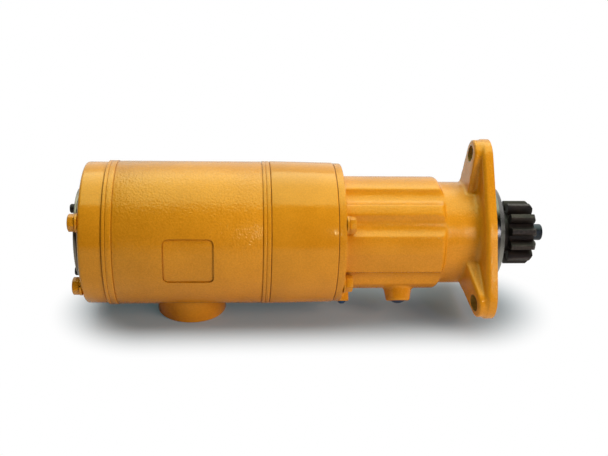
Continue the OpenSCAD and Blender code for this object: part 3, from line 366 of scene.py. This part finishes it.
motor_housing = turned("motor_casting", [
    (motor_rear, motor_bore_r), (motor_rear, land_r - land_edge), (motor_rear + land_edge, land_r),
    (rear_groove, land_r), (rear_groove + groove_w / 2, land_r - groove_depth),
    (rear_groove + groove_w, land_r), (rear_land_end, land_r), (rear_land_end, skin_r - groove_depth),
    (rear_land_end + groove_w, skin_r - groove_depth), (rear_land_end + groove_w, skin_r),
    (front_land_end - groove_w, skin_r), (front_land_end - groove_w, skin_r - groove_depth),
    (front_land_end, skin_r - groove_depth), (front_land_end, land_r),
    (front_groove - groove_w, land_r), (front_groove - groove_w / 2, land_r - groove_depth),
    (front_groove, land_r), (motor_front - land_edge, land_r), (motor_front, land_r - land_edge),
    (motor_front, motor_bore_r)], motor_edge)
inlet_boss = turned("inlet_boss", [
    (inlet_boss_root, 0), (inlet_boss_root, inlet_boss_r), (inlet_reach, inlet_boss_r), (inlet_reach, 0)],
    inlet_boss_edge, steps=96)
motor_housing = worked(motor_housing, pointed(inlet_boss, (inlet_x, 0, 0), (0, 0, -1)), how="UNION")
inlet_cut = [(thread_mouth, 0), (thread_mouth, thread_mouth_r), (thread_start, inlet_thread_r)]
for turn in range(int(inlet_thread_len / thread_pitch)):
    crest = thread_start - turn * thread_pitch
    inlet_cut += [(crest - thread_pitch * 0.5, inlet_thread_r + thread_depth),
                  (crest - thread_pitch, inlet_thread_r)]
thread_end = inlet_reach - inlet_thread_len
inlet_cut += [(thread_end, inlet_thread_r), (thread_end, inlet_bore_r), (inlet_bore_end, inlet_bore_r),
              (inlet_bore_end, 0)]
inlet_hole = turned("inlet_hole", inlet_cut, steps=96)
motor_housing = worked(motor_housing, pointed(inlet_hole, (inlet_x, 0, 0), (0, 0, -1)))


def panel_tool(inset, floor_r):
    """A block with the panel's rounded outline, smaller by an inset, that ends on a round floor."""
    half_w, half_h = panel_w / 2 - inset, panel_h / 2 - inset
    tool = lay_out("panel", [(-half_w, -half_h), (half_w, -half_h), (half_w, half_h), (-half_w, half_h)])
    bpy.ops.mesh.edge_face_add()
    bpy.ops.mesh.bevel(offset=panel_corner - inset, segments=6, affect="VERTICES")
    bpy.ops.mesh.select_all(action="SELECT")
    bpy.ops.mesh.extrude_region_move(TRANSFORM_OT_translate={"value": (0, -panel_tool_len - 2 * inset, 0)})
    bpy.ops.mesh.select_all(action="SELECT")
    bpy.ops.transform.translate(value=(inlet_x, inset - panel_tool_near, 0))
    bpy.ops.mesh.normals_make_consistent(inside=False)
    bpy.ops.object.mode_set(mode="OBJECT")
    core = rod((inlet_x - panel_core_reach, 0, 0), (inlet_x + panel_core_reach, 0, 0), floor_r, sides=192)
    return worked(tool, core)


motor_housing = worked(motor_housing, panel_tool(0, panel_floor_r))
panel_groove = panel_tool(-panel_groove_overlap, panel_floor_r - panel_groove_depth)
motor_housing = worked(motor_housing, worked(panel_groove, panel_tool(panel_groove_w, groove_core_r)))


def noise(place, scale, detail=2, rough=0.5):
    """Even noise between 0 and 1 whose grains are about 1 / scale metres wide."""
    return place.node("ShaderNodeTexNoise", sockets={
        "Vector": place, "Scale": scale, "Detail": detail, "Roughness": rough})


def soft_edge(place, radius):
    """The surface's normal, as if its edges were worn round."""
    return place.node("ShaderNodeBevel", {"samples": 4}, {"Radius": radius})


def relief(height, base=None):
    """The surface's normal with a height in millimetres on it, over a base where one is given."""
    sockets = {"Strength": 1.0, "Distance": 0.001, "Height": height}
    if base:
        sockets["Normal"] = base
    return height.node("ShaderNodeBump", sockets=sockets)


def finish(name, recipe):
    """A material whose recipe turns a place on the piece into the shader's sockets."""
    made = bpy.data.materials.new(name)
    made.use_nodes = True
    made.node_tree.nodes.clear()
    place = Wire(made.node_tree).node("ShaderNodeTexCoord", output="Object")
    skin = place.node("ShaderNodeBsdfPrincipled", sockets=recipe(place))
    place.node("ShaderNodeOutputMaterial", sockets={"Surface": skin})
    return made


def enamel(peel, grain):
    """Yellow enamel: peel is the depth of its orange peel, and grain how much the casting shows through."""
    def recipe(place):
        drift = band(noise(place, scale=22, detail=3), 0.3, 0.7)
        speck = band(noise(place, scale=800), 0.3, 0.7)
        bumps = noise(place, scale=560, detail=1, rough=0.4)
        sand = noise(place, scale=900, rough=0.6)
        return {
            "Base Color": tint(speck * 0.45 + drift * 0.45, paint_dark, paint_light),
            "Roughness": 0.09 + 0.06 * speck + 0.03 * drift,
            "Specular IOR Level": 0.5,
            "Specular Tint": paint_sheen,
            "Normal": relief(bumps * peel + sand * grain, soft_edge(place, 0.0006))}
    return recipe


cast_enamel = finish("yellow_enamel_on_casting", enamel(peel=0.3, grain=0.15))
smooth_enamel = finish("yellow_enamel_on_turned_faces", enamel(peel=0.07, grain=0.03))


def fit(piece, material, body, slot, *nodes, angle=30):
    """The piece finished: shaded, painted, carried by its body, and in place of its CAD nodes."""
    pick(piece)
    bpy.ops.object.shade_smooth_by_angle(angle=math.radians(angle))
    piece.data.materials.clear()
    piece.data.materials.append(material)
    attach(piece, body)
    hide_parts(*nodes)


fit(motor_housing, cast_enamel, "starter_body", "yellow_paint", "motor_housing")

# The gear case is the short ring between the motor and the nose. It is turned all over and tapers a little
# towards the front. The ring gear and the carrier's bearing sit on either side of its thin inner wall.
case_low, case_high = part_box("gear_case")
case_rear, case_front = case_low.x, case_high.x
case_front_r = 0.0604
case_edge = 0.0007
case_bore_r = 0.047
turned_edge = 0.0003
lip_r = 0.038
lip_t = 0.0045
bearing_low, bearing_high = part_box("carrier_bearing")
bearing_rear, bearing_r = bearing_low.x, bearing_high.z
bearing_lip_r = bearing_r - 0.003
bearing_wall_rear = bearing_rear - 0.0035
screw_r = 0.004
screw_circle_r = 0.053
cover_screw_angles = (58, 122, 238, 302)
drive_screw_angles = (60, 120, 240, 300)
screw_grip = 0.017
overrun = 0.01


def at_clock(angle, r, x):
    """A point at a clock angle round the shaft: 0 is up, and 90 is towards the camera."""
    return Vector((x, -r * math.sin(math.radians(angle)), r * math.cos(math.radians(angle))))


def rods_round(angles, circle_r, start_x, end_x, radius, sides=64):
    """Round bars along the shaft, one at each clock angle of a circle."""
    return [rod(at_clock(angle, circle_r, start_x), at_clock(angle, circle_r, end_x), radius, sides=sides)
            for angle in angles]


gear_case = turned("gear_casing", [
    (case_rear, lip_r), (case_rear, land_r - land_edge), (case_rear + land_edge, land_r),
    (case_front - case_edge, case_front_r), (case_front, case_front_r - case_edge), (case_front, bearing_r),
    (bearing_rear, bearing_r), (bearing_rear, bearing_lip_r), (bearing_wall_rear, bearing_lip_r),
    (bearing_wall_rear, case_bore_r), (case_rear + lip_t, case_bore_r), (case_rear + lip_t, lip_r)],
    turned_edge)
gear_case = worked(
    gear_case,
    *rods_round(cover_screw_angles, screw_circle_r, case_rear - overrun, case_rear + screw_grip, screw_r),
    *rods_round(drive_screw_angles, screw_circle_r, case_front - screw_grip, case_front + overrun, screw_r))
fit(gear_case, smooth_enamel, "starter_body", "yellow_paint", "gear_case")

# The rear cover is a shallow turned cup over the end of the motor, with a rounded rear edge. The exhaust
# leaves through the round opening in its middle, which the deflector disc hides.
cover_low, cover_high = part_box("rear_cover")
cover_rear, cover_front, cover_r = cover_low.x, cover_high.x, cover_high.z
cover_floor = cover_rear + 0.007
cover_round = 0.0025
cover_edge = 0.0004
exhaust_r = 0.024
screw_hole_r = screw_r + 0.0003
deflector_circle_r = 0.033
deflector_screw_r = 0.0022
deflector_screw_depth = 0.005
deflector_angles = (30, 150, 270)


def arc(x, r, radius, start, end):
    """Points of an arc in an outline, from one angle to another, where 0 points forwards."""
    steps = 6
    turns = [math.radians(start + (end - start) * i / steps) for i in range(steps + 1)]
    return [(x + radius * math.cos(turn), r + radius * math.sin(turn)) for turn in turns]


rear_cover = turned("rear_cup", [
    (cover_rear, exhaust_r), *arc(cover_rear + cover_round, cover_r - cover_round, cover_round, 180, 90),
    (cover_front - land_edge, cover_r), (cover_front, cover_r - land_edge), (cover_front, lip_r),
    (cover_floor, lip_r), (cover_floor, exhaust_r)], cover_edge)
rear_cover = worked(
    rear_cover,
    *rods_round(cover_screw_angles, screw_circle_r, cover_rear - overrun, cover_front + overrun,
                screw_hole_r),
    *rods_round(deflector_angles, deflector_circle_r, cover_rear - overrun,
                cover_rear + deflector_screw_depth, deflector_screw_r))
fit(rear_cover, smooth_enamel, "starter_body", "yellow_paint", "rear_cover")

# The drive housing is the nose casting: a fluted body with a plain pad, a neck, and the mounting plate with
# three ribbed lobes. It is sand cast, so its edges are soft, and then faced, bored and drilled, and painted.
drive_low, drive_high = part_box("drive_housing")
drive_rear, plate_front = drive_low.x, drive_high.x
facing = 0.002
blank_rear = drive_rear - facing
blank_front = plate_front + facing
drive_flange_front = drive_rear + 0.0062
drive_flange_r = 0.0598
drive_flange_edge = 0.0008
body_r = 0.049
shoulder_x = -0.0396
shoulder_r = 0.0042
neck_r = 0.04435
neck_fillet = 0.005
neck_sunk = 0.005
flute_r = 0.0124
flute_centre_r = 0.057
flute_angles = (*drive_screw_angles, 28.5, -28.5)
flute_rear = drive_rear - 0.02
pad_angle = 101
pad_r = 0.04788
pad_half_w = 0.03
pad_tool_r = 0.08
plate_rear = -0.009
plate_edge = 0.0024
plate_full = plate_edge + plate_rear
plate_middle = plate_rear / 2
plate_r = 0.0575
lobe_r = 0.020
lobe_centre_r = 0.065025
lobe_angles = (0, 120, 240)
rib_tip_r = 0.013
rib_set_back = 0.0005
rib_tip_centre_r = lobe_centre_r + lobe_r - rib_set_back - rib_tip_r
rib_half_w = 0.015
rib_low_r = neck_r - 0.006
rib_high_r = neck_r - 0.002
rib_boss_x = -0.014
rib_root_x = -0.0205
top_rib_root_x = -0.0175
port_angle = 150
port_axis = at_clock(port_angle, 1, 0)
port_reach = 0.059
port_root = 0.04
port_waist = 0.05
port_blank = port_reach + 0.001
middle_port_x = -0.073
middle_port_r = 0.012
middle_port_mouth_r = 0.0102
rear_port_x = -0.1222
rear_port_r = 0.0062
voxel = 0.0011


def rolled(piece, angle):
    """A new piece turned round the shaft by a clock angle."""
    piece.rotation_euler.x = math.radians(angle)
    settle()
    return piece


def block(low, high):
    """A square block between two corners, to add to a piece or to cut from it."""
    bpy.ops.object.select_all(action="DESELECT")
    low, high = Vector(low), Vector(high)
    bpy.ops.mesh.primitive_cube_add(size=1, location=(low + high) / 2, scale=high - low)
    settle()
    return bpy.context.object


def hull(*pieces):
    """The smallest convex solid around some pieces, as a skin is pulled tight round them."""
    piece = joined(*pieces)
    bpy.ops.object.mode_set(mode="EDIT")
    bpy.ops.mesh.select_all(action="SELECT")
    bpy.ops.mesh.convex_hull()
    bpy.ops.object.mode_set(mode="OBJECT")
    return piece


def plate_disc(angle, centre_r, radius, sides):
    """A round part of the mounting plate, as a cone for its soft rear edge and a disc."""
    rear, full, front = [at_clock(angle, centre_r, x) for x in (plate_rear, plate_full, blank_front)]
    return rod(rear, full, radius - plate_edge, radius, sides), rod(full, front, radius, sides=sides)


def at_port(x, r):
    """A point at the clock angle of the ports, at a place along the shaft and a distance from it."""
    return port_axis * r + Vector((x, 0, 0))


casting = turned("nose_casting", [
    (blank_rear, 0), (blank_rear, body_r),
    *arc(shoulder_x - shoulder_r, body_r - shoulder_r, shoulder_r, 90, 0), (shoulder_x, 0)])
casting = worked(casting, *rods_round(flute_angles, flute_centre_r, flute_rear, 0, flute_r, sides=96))
pad_tool = block((flute_rear, -pad_half_w, pad_r), (0, pad_half_w, pad_tool_r))
casting = worked(casting, rolled(pad_tool, pad_angle))
rear_flange = turned("rear_flange", [
    (blank_rear, 0), (blank_rear, drive_flange_r), (drive_flange_front, drive_flange_r),
    (drive_flange_front, 0)], drive_flange_edge)
neck = turned("neck", [
    (shoulder_x - neck_sunk, 0), (shoulder_x - neck_sunk, neck_r),
    *arc(plate_rear - neck_fillet, neck_r + neck_fillet, neck_fillet, 270, 360),
    (plate_middle, neck_r + neck_fillet), (plate_middle, 0)], steps=160)
plate_parts = []
for angle in lobe_angles:
    plate_parts.append(hull(*plate_disc(0, 0, plate_r, sides=160),
                            *plate_disc(angle, lobe_centre_r, lobe_r, sides=64)))
    root_x = rib_root_x if angle else top_rib_root_x
    root = rolled(block((root_x, -rib_half_w, rib_low_r), (plate_middle, rib_half_w, rib_high_r)), angle)
    tip = rod(at_clock(angle, rib_tip_centre_r, rib_boss_x), at_clock(angle, rib_tip_centre_r, plate_middle),
              rib_tip_r)
    plate_parts.append(hull(root, tip))
bosses = [
    rod(at_port(middle_port_x, port_root), at_port(middle_port_x, port_waist), middle_port_r),
    rod(at_port(middle_port_x, port_waist), at_port(middle_port_x, port_blank), middle_port_r,
        middle_port_mouth_r),
    rod(at_port(rear_port_x, port_root), at_port(rear_port_x, port_blank), rear_port_r)]
casting = joined(casting, rear_flange, neck, *plate_parts, *bosses)
changed(casting, "sand_mould", "REMESH", mode="VOXEL", voxel_size=voxel)
changed(casting, "soft_edges", "SMOOTH", factor=0.5, iterations=2)
bpy.ops.object.mode_set(mode="EDIT")
for plane_x, keeps_rear in ((plate_front, True), (drive_rear, False)):
    bpy.ops.mesh.select_all(action="SELECT")
    bpy.ops.mesh.bisect(plane_co=(plane_x, 0, 0), plane_no=(1, 0, 0), use_fill=True,
                        clear_outer=keeps_rear, clear_inner=not keeps_rear)
bpy.ops.mesh.select_all(action="SELECT")
bpy.ops.mesh.normals_make_consistent(inside=False)
bpy.ops.object.mode_set(mode="OBJECT")

chamber_r = 0.0395
chamber_front = -0.042
rim_r = 0.044
rim_front = drive_rear + 0.0046
nose_bore_r = 0.021
hub_r = 0.025
hollow_rear = chamber_front + 0.009
hollow_r = 0.036
tail_x = -0.008
tail_r = 0.04204
drilling_start = 0.0355
port_thread_end = port_reach - 0.007
spot_tool_end = 0.07
mount_hole_circle_r = 0.073025
mount_hole_r = 0.00675
drive_screw_depth = 0.02
# Inside the mounting holes the enamel is darkened: partly thin paint, mostly painted shade in the recess.
hole_paint_and_shade = (0.28, 0.155, 0.03, 1)
hole_shade_r = mount_hole_r + 0.0002
hole_shade_end_r = mount_hole_r + 0.0008


def port_tool(port_x, thread_r, spot_r, drilling_r):
    """A stepped tool for a port: its drilling into the chamber, its thread and its spot face."""
    tool = turned("port_tool", [
        (drilling_start, 0), (drilling_start, drilling_r), (port_thread_end, drilling_r),
        (port_thread_end, thread_r), (port_reach, thread_r), (port_reach, spot_r), (spot_tool_end, spot_r),
        (spot_tool_end, 0)], steps=64)
    return pointed(tool, (port_x, 0, 0), port_axis)


casting = worked(casting, turned("chamber", [
    (drive_rear - overrun, 0), (drive_rear - overrun, rim_r), (rim_front, rim_r), (rim_front, chamber_r),
    (chamber_front, chamber_r), (chamber_front, nose_bore_r), (tail_x, nose_bore_r), (tail_x, hub_r),
    (hollow_rear, hub_r), (hollow_rear, hollow_r), (tail_x, hollow_r), (tail_x, tail_r),
    (overrun, tail_r), (overrun, 0)], steps=128))
casting = worked(
    casting,
    port_tool(middle_port_x, thread_r=0.00655, spot_r=0.00755, drilling_r=0.0035),
    port_tool(rear_port_x, thread_r=0.0036, spot_r=0.0046, drilling_r=0.002),
    *rods_round(lobe_angles, mount_hole_circle_r, rib_root_x, overrun, mount_hole_r),
    *rods_round(drive_screw_angles, screw_circle_r, drive_rear - overrun, drive_rear + drive_screw_depth,
                screw_hole_r))


def nose_enamel(place):
    """Enamel on the nose, darker inside the three mounting holes: partly thin paint, mostly painted shade.
    """
    skin = enamel(peel=0.2, grain=0.19)(place)
    for angle in lobe_angles:
        _, hole_y, hole_z = at_clock(angle, mount_hole_circle_r, 0)
        beside, above = part_of(place, "Y") - hole_y, part_of(place, "Z") - hole_z
        off_axis = (beside ** 2.0 + above ** 2.0) ** 0.5
        # Painted shade: the walls of the holes are darkened.
        outside = band(off_axis, hole_shade_r, hole_shade_end_r)
        skin["Base Color"] = tint(outside, hole_paint_and_shade, skin["Base Color"])
    return skin


fit(casting, finish("yellow_enamel_on_nose", nose_enamel), "starter_body", "yellow_paint",
    "drive_housing", angle=40)

# Eight hex cap screws with split lock washers hold the cover, the motor and the gear case together, and
# the drive housing onto the gear case. They are steel, fitted before the paint, so they are yellow as well.
head_across_flats = 0.0127
head_h = 0.006
head_corner_r = head_across_flats / 2 / math.cos(math.radians(30))
head_form_r = head_corner_r + 0.0001
head_chamfer = 0.0006
head_chamfer_h = 0.0009
head_edge = 0.0002
washer_face_r = 0.0061
washer_face_t = 0.0004
washer_t = 0.0017
shank_r = screw_r - 0.00004
shank_chamfer = 0.0006
cover_screw_len = 0.1688
drive_screw_len = 0.0224

screw_head = rolled(rod((-head_h, 0, 0), (-washer_face_t, 0, 0), head_corner_r, sides=6), angle=30)
screw_head = worked(screw_head, turned("head_form", [
    (-head_h, 0), (-head_h, head_across_flats / 2 - head_chamfer), (head_chamfer_h - head_h, head_form_r),
    (-washer_face_t, head_form_r), (-washer_face_t, 0)], steps=96), how="INTERSECT")
screw_head = edges_broken(screw_head, head_edge)


def screw_set(name, length, x, angles, faces_rear):
    """Copies of the cap screw round a circle, with a washer face and a shank of their own length."""
    screws = []
    for angle in angles:
        pick(screw_head)
        bpy.ops.object.duplicate()
        head = bpy.context.object
        shank = turned("shank", [
            (-washer_face_t, 0), (-washer_face_t, washer_face_r), (0, washer_face_r), (0, shank_r),
            (length - shank_chamfer, shank_r), (length, screw_r - shank_chamfer), (length, 0)], steps=32)
        screw = joined(head, shank)
        roll, turn = (angle, 0) if faces_rear else (-angle, 180)
        screw.rotation_euler = (math.radians(roll), 0, math.radians(turn))
        screw.location = at_clock(angle, screw_circle_r, x)
        settle()
        screws.append(screw)
    whole = joined(*screws)
    whole.name = name
    whole.data.name = name
    return whole


cover_screws = screw_set("cover_cap_screws", cover_screw_len, cover_rear - washer_t, cover_screw_angles,
                         faces_rear=True)
drive_screws = screw_set("drive_cap_screws", drive_screw_len, drive_flange_front + washer_t,
                         drive_screw_angles, faces_rear=False)
bpy.data.objects.remove(screw_head)
screw_enamel = finish("yellow_enamel_on_screws", enamel(peel=0.12, grain=0.1))
fit(cover_screws, screw_enamel, "starter_body", "yellow_paint", "rear_cover_screws")
fit(drive_screws, screw_enamel, "starter_body", "yellow_paint", "drive_housing_screws")

# The deflector disc is a bare steel plate that turns the exhaust air outwards. It stands off the cover on
# three spacers and is held by three black socket screws. The disc and the spacers are turned on the lathe.
black_dark = (0.011, 0.0085, 0.0085, 1)
black_worn = (0.032, 0.022, 0.02, 1)
wear_fade = 0.0005
unworn = 0.1


def dress(material, *nodes):
    """CAD nodes whose shape is right as it is, given their material."""
    for name in nodes:
        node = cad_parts[name]
        node.data.materials.clear()
        node.data.materials.append(material)


def from_shaft(place):
    """The distance of a place from the shaft's axis."""
    return (part_of(place, "Y") ** 2.0 + part_of(place, "Z") ** 2.0) ** 0.5


def rings_along(distance, pitch, detail=2):
    """Fine rings or layers, a pitch apart, along a distance."""
    return distance.node("ShaderNodeTexNoise", {"noise_dimensions": "1D"}, {
        "W": distance * (1 / pitch), "Scale": 1.0, "Detail": detail})


def lathe_marks(place, pitch):
    """Fine rings round the shaft, on faces and round the outside alike."""
    return rings_along(part_of(place, "X") + from_shaft(place), pitch)


def bare_metal(dark, light, roughness, marks, depth):
    """Turned or ground metal: its tone runs from dark to light in rings, with a few stains."""
    def recipe(place):
        rings = lathe_marks(place, marks)
        stain = band(noise(place, scale=90, detail=3), 0.45, 0.8)
        return {
            "Base Color": tint(rings - 0.35 * stain, dark, light),
            "Metallic": 1.0,
            "Roughness": roughness + 0.12 * stain + 0.08 * rings,
            "Normal": relief(rings * depth, soft_edge(place, 0.0003))}
    return recipe


def black_oxide(wear_r):
    """Blackened steel with a brown cast, worn a little lighter further out than a radius."""
    def recipe(place):
        cloud = band(noise(place, scale=120, detail=3), 0.3, 0.7)
        grit = noise(place, scale=1800)
        rubbed = band(noise(place, scale=400, detail=3), 0.35, 0.65)
        worn = band(from_shaft(place), wear_r, wear_r + wear_fade) * rubbed
        return {
            "Base Color": tint(cloud * 0.6 + worn * 0.7, black_dark, black_worn),
            "Metallic": 0.3,
            "Roughness": 0.5 - 0.12 * worn + 0.08 * grit,
            "Normal": relief(grit * 0.02, soft_edge(place, 0.0004))}
    return recipe


bare_steel = finish("turned_bare_steel", bare_metal(
    dark=(0.2, 0.18, 0.155, 1), light=(0.33, 0.29, 0.25, 1), roughness=0.42, marks=0.0005, depth=0.01))
dress(bare_steel, "deflector_disc", "deflector_spacers")
dress(finish("black_screws", black_oxide(wear_r=unworn)), "deflector_screws")

# The split lock washers under the cap screws are spring steel. They were fitted before the paint as well,
# so they are as yellow as the screws.
dress(screw_enamel, "rear_cover_washers", "drive_housing_washers")

# The vane motor runs inside the housing: an iron cylinder with an off-centre bore between two iron end
# plates, a steel rotor on two ball bearings, and five laminate vanes. It is ground to size and oiled.
laminate_dark = (0.11, 0.045, 0.016, 1)
laminate_light = (0.24, 0.11, 0.045, 1)
laminate_layer = 0.0004


def grey(tone):
    """A neutral colour."""
    return (tone, tone, tone, 1)


def laminate(place):
    """Brown laminate of cloth and resin, with its layers across the vane."""
    layers = rings_along(from_shaft(place), laminate_layer, detail=1)
    return {
        "Base Color": tint(layers, laminate_dark, laminate_light),
        "Roughness": 0.5 + 0.15 * noise(place, scale=500),
        "Normal": relief(layers * 0.03)}


machined_iron = finish("machined_iron", bare_metal(
    dark=(0.13, 0.13, 0.135, 1), light=(0.24, 0.24, 0.245, 1), roughness=0.5, marks=0.0004, depth=0.01))
gear_steel = finish("oiled_gear_steel", bare_metal(
    dark=grey(0.2), light=grey(0.34), roughness=0.3, marks=0.0003, depth=0.004))
bright_steel = finish("ground_bright_steel", bare_metal(
    dark=grey(0.42), light=grey(0.6), roughness=0.22, marks=0.0003, depth=0.003))
dress(machined_iron, "cylinder_liner", "rear_end_plate", "front_end_plate")
dress(gear_steel, "rotor")
dress(bright_steel, "rear_bearing_cap", "rear_rotor_bearing", "front_rotor_bearing", "cylinder_dowel")
dress(finish("vane_laminate", laminate), "vanes")

# The planetary gear turns the rotor's speed down: hardened gears of oiled steel, whose three planets run
# on sintered bronze bushes and ground pins. The drive shaft's front bush is of the same bronze.
sintered_bronze = finish("sintered_bronze", bare_metal(
    dark=(0.38, 0.22, 0.09, 1), light=(0.58, 0.37, 0.17, 1), roughness=0.42, marks=0.0006, depth=0.008))
dress(gear_steel, "sun_gear", "ring_gear", "planet_gear_1", "planet_gear_2", "planet_gear_3",
      "planet_carrier")
dress(bright_steel, "planet_pins", "carrier_bearing")
dress(sintered_bronze, "planet_bush_1", "planet_bush_2", "planet_bush_3", "front_bush")

# The drive piston pushes the pinion out. It and the bulkhead behind it are turned aluminium with moulded
# rubber seals. A ball bearing, held by two snap rings, lets the drive shaft turn inside the piston.
unpainted = 1
paint_fade = 0.0002
edge_paint = (0.27, 0.11, 0.01, 1)


def matt_sheet(dark, light, grain, painted_r):
    """Rubber or pressed fibre: matt and mottled, with paint on it further out than a radius."""
    def recipe(place):
        mottle = noise(place, scale=grain, detail=3)
        painted = band(from_shaft(place), painted_r, painted_r + paint_fade)
        return {
            "Base Color": tint(painted, tint(band(mottle, 0.3, 0.7), dark, light), edge_paint),
            "Roughness": 0.65 + 0.25 * mottle,
            "Normal": relief(mottle * 0.05)}
    return recipe


turned_aluminium = finish("turned_aluminium", bare_metal(
    dark=(0.5, 0.51, 0.52, 1), light=(0.68, 0.69, 0.7, 1), roughness=0.34, marks=0.0005, depth=0.008))
moulded_rubber = finish("moulded_rubber", matt_sheet(
    dark=grey(0.008), light=grey(0.018), grain=900, painted_r=unpainted))
dress(turned_aluminium, "piston", "bulkhead")
dress(moulded_rubber, "bulkhead_seal", "piston_seal")
dress(bright_steel, "piston_bearing", "piston_snap_ring", "shaft_snap_ring")

# The return spring is coiled from round steel wire, and its end coils are closed. It stands between the
# piston and the front wall of the chamber, and is squeezed against that wall when the pinion slides out.
spring_low, spring_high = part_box("return_spring")
wire_r = 0.0022
coil_r = 0.031
coil_turns = 3.5
closed_turns = 0.75
closed_pitch = 2.04 * wire_r
coil_steps = 168
spring_len = spring_high.x - spring_low.x
open_turns = coil_turns - 2 * closed_turns
open_pitch = (spring_len - 2 * wire_r - 2 * closed_turns * closed_pitch) / open_turns

bpy.ops.curve.primitive_bezier_circle_add()
spring = bpy.context.object
spring.name = "coiled_return_spring"
spring.data.splines.clear()
coil = spring.data.splines.new("POLY")
coil.points.add(coil_steps)
for i, point in enumerate(coil.points):
    turn = coil_turns * i / coil_steps
    opened = min(max(turn - closed_turns, 0), open_turns)
    x = spring_low.x + wire_r + closed_pitch * (turn - opened) + open_pitch * opened
    point.co = (x, coil_r * math.sin(math.tau * turn), -coil_r * math.cos(math.tau * turn), 1)
spring.data.bevel_depth = wire_r
spring.data.bevel_resolution = 4
spring.data.use_fill_caps = True
bpy.ops.object.convert(target="MESH")
spring = bpy.context.object
spring_steel = finish("drawn_spring_steel", bare_metal(
    dark=grey(0.1), light=grey(0.2), roughness=0.35, marks=0.0008, depth=0.004))
fit(spring, spring_steel, "starter_body", "bare_steel", "return_spring")
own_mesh(spring)

# Thin gaskets of pressed fibre seal the three joints between the castings. The cap screws clamp them, and
# there is paint over their edges.
gasket_painted_r = 0.057
pressed_fibre = finish("pressed_fibre", matt_sheet(
    dark=(0.012, 0.011, 0.009, 1), light=(0.035, 0.03, 0.024, 1), grain=700, painted_r=gasket_painted_r))
dress(pressed_fibre, "rear_gasket", "middle_gasket", "front_gasket")

# The inlet's strainer is a disc of bright sheet steel with drilled holes, which keeps dirt out of the
# motor. It is pressed into the inlet's bore, above the thread.
dress(bright_steel, "inlet_strainer")

# Blue plastic plugs close the two control ports of the drive housing while the starter is in store.
# They are moulded, with a slightly rough skin, and pushed into the threads.
plug_dark = (0.003, 0.03, 0.09, 1)
plug_light = (0.005, 0.055, 0.17, 1)


def blue_moulding(place):
    """Blue plastic with a faint mould texture."""
    skin = noise(place, scale=1400)
    cloud = band(noise(place, scale=150), 0.35, 0.7)
    return {
        "Base Color": tint(cloud, plug_dark, plug_light),
        "Roughness": 0.32 + 0.12 * skin,
        "Normal": relief(skin * 0.02, soft_edge(place, 0.0004))}


dress(finish("blue_plastic", blue_moulding), "middle_port_plug", "rear_port_plug")

# The pilot ring is turned from steel and pressed into the nose, with the shaft's rubber seal inside it.
# It is left bare, apart from a band of overspray where the paint of the flange ran onto it.
overspray_end = 0.0036
overspray_fade = 0.0012
overspray = (0.5, 0.19, 0.01, 1)
pilot_dark = (0.11, 0.103, 0.096, 1)
pilot_light = (0.21, 0.196, 0.18, 1)


def pilot_steel(place):
    """Dark turned steel, yellow close to the flange."""
    rings = lathe_marks(place, pitch=0.0007)
    stain = band(noise(place, scale=70, detail=4), 0.4, 0.75)
    edge = part_of(place, "X") + overspray_fade * noise(place, scale=300)
    clean = band(edge, overspray_end, overspray_end + overspray_fade)
    steel = tint(rings * 0.8 - 0.3 * stain, pilot_dark, pilot_light)
    return {
        "Base Color": tint(clean, overspray, steel),
        "Metallic": clean,
        "Roughness": 0.22 + 0.1 * stain,
        "Normal": relief(rings * 0.004, soft_edge(place, 0.0005))}


dress(finish("pilot_steel", pilot_steel), "pilot_ring")
dress(moulded_rubber, "shaft_seal")

# The pinion slides out with the drive shaft to meet the engine's ring gear. It is cut from steel, hardened
# and blackened, and a washer and a dark blued screw hold it on the shaft's splines.
pinion_tip_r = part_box("pinion")[1].z
tip_wear = 0.0012
blued_dark = (0.012, 0.017, 0.026, 1)
blued_light = (0.022, 0.032, 0.05, 1)


def blued(place):
    """Heat-blued steel."""
    shade = band(noise(place, scale=200), 0.35, 0.7)
    return {
        "Base Color": tint(shade, blued_dark, blued_light),
        "Metallic": 0.5,
        "Roughness": 0.32 + 0.1 * shade,
        "Normal": soft_edge(place, 0.0005)}


black_pinion = finish("black_oxide_pinion", black_oxide(wear_r=pinion_tip_r - tip_wear))
dress(black_pinion, "pinion", "pinion_washer", "drive_shaft")
dress(finish("blued_screw", blued), "pinion_screw")

bpy.context.view_layer.update()
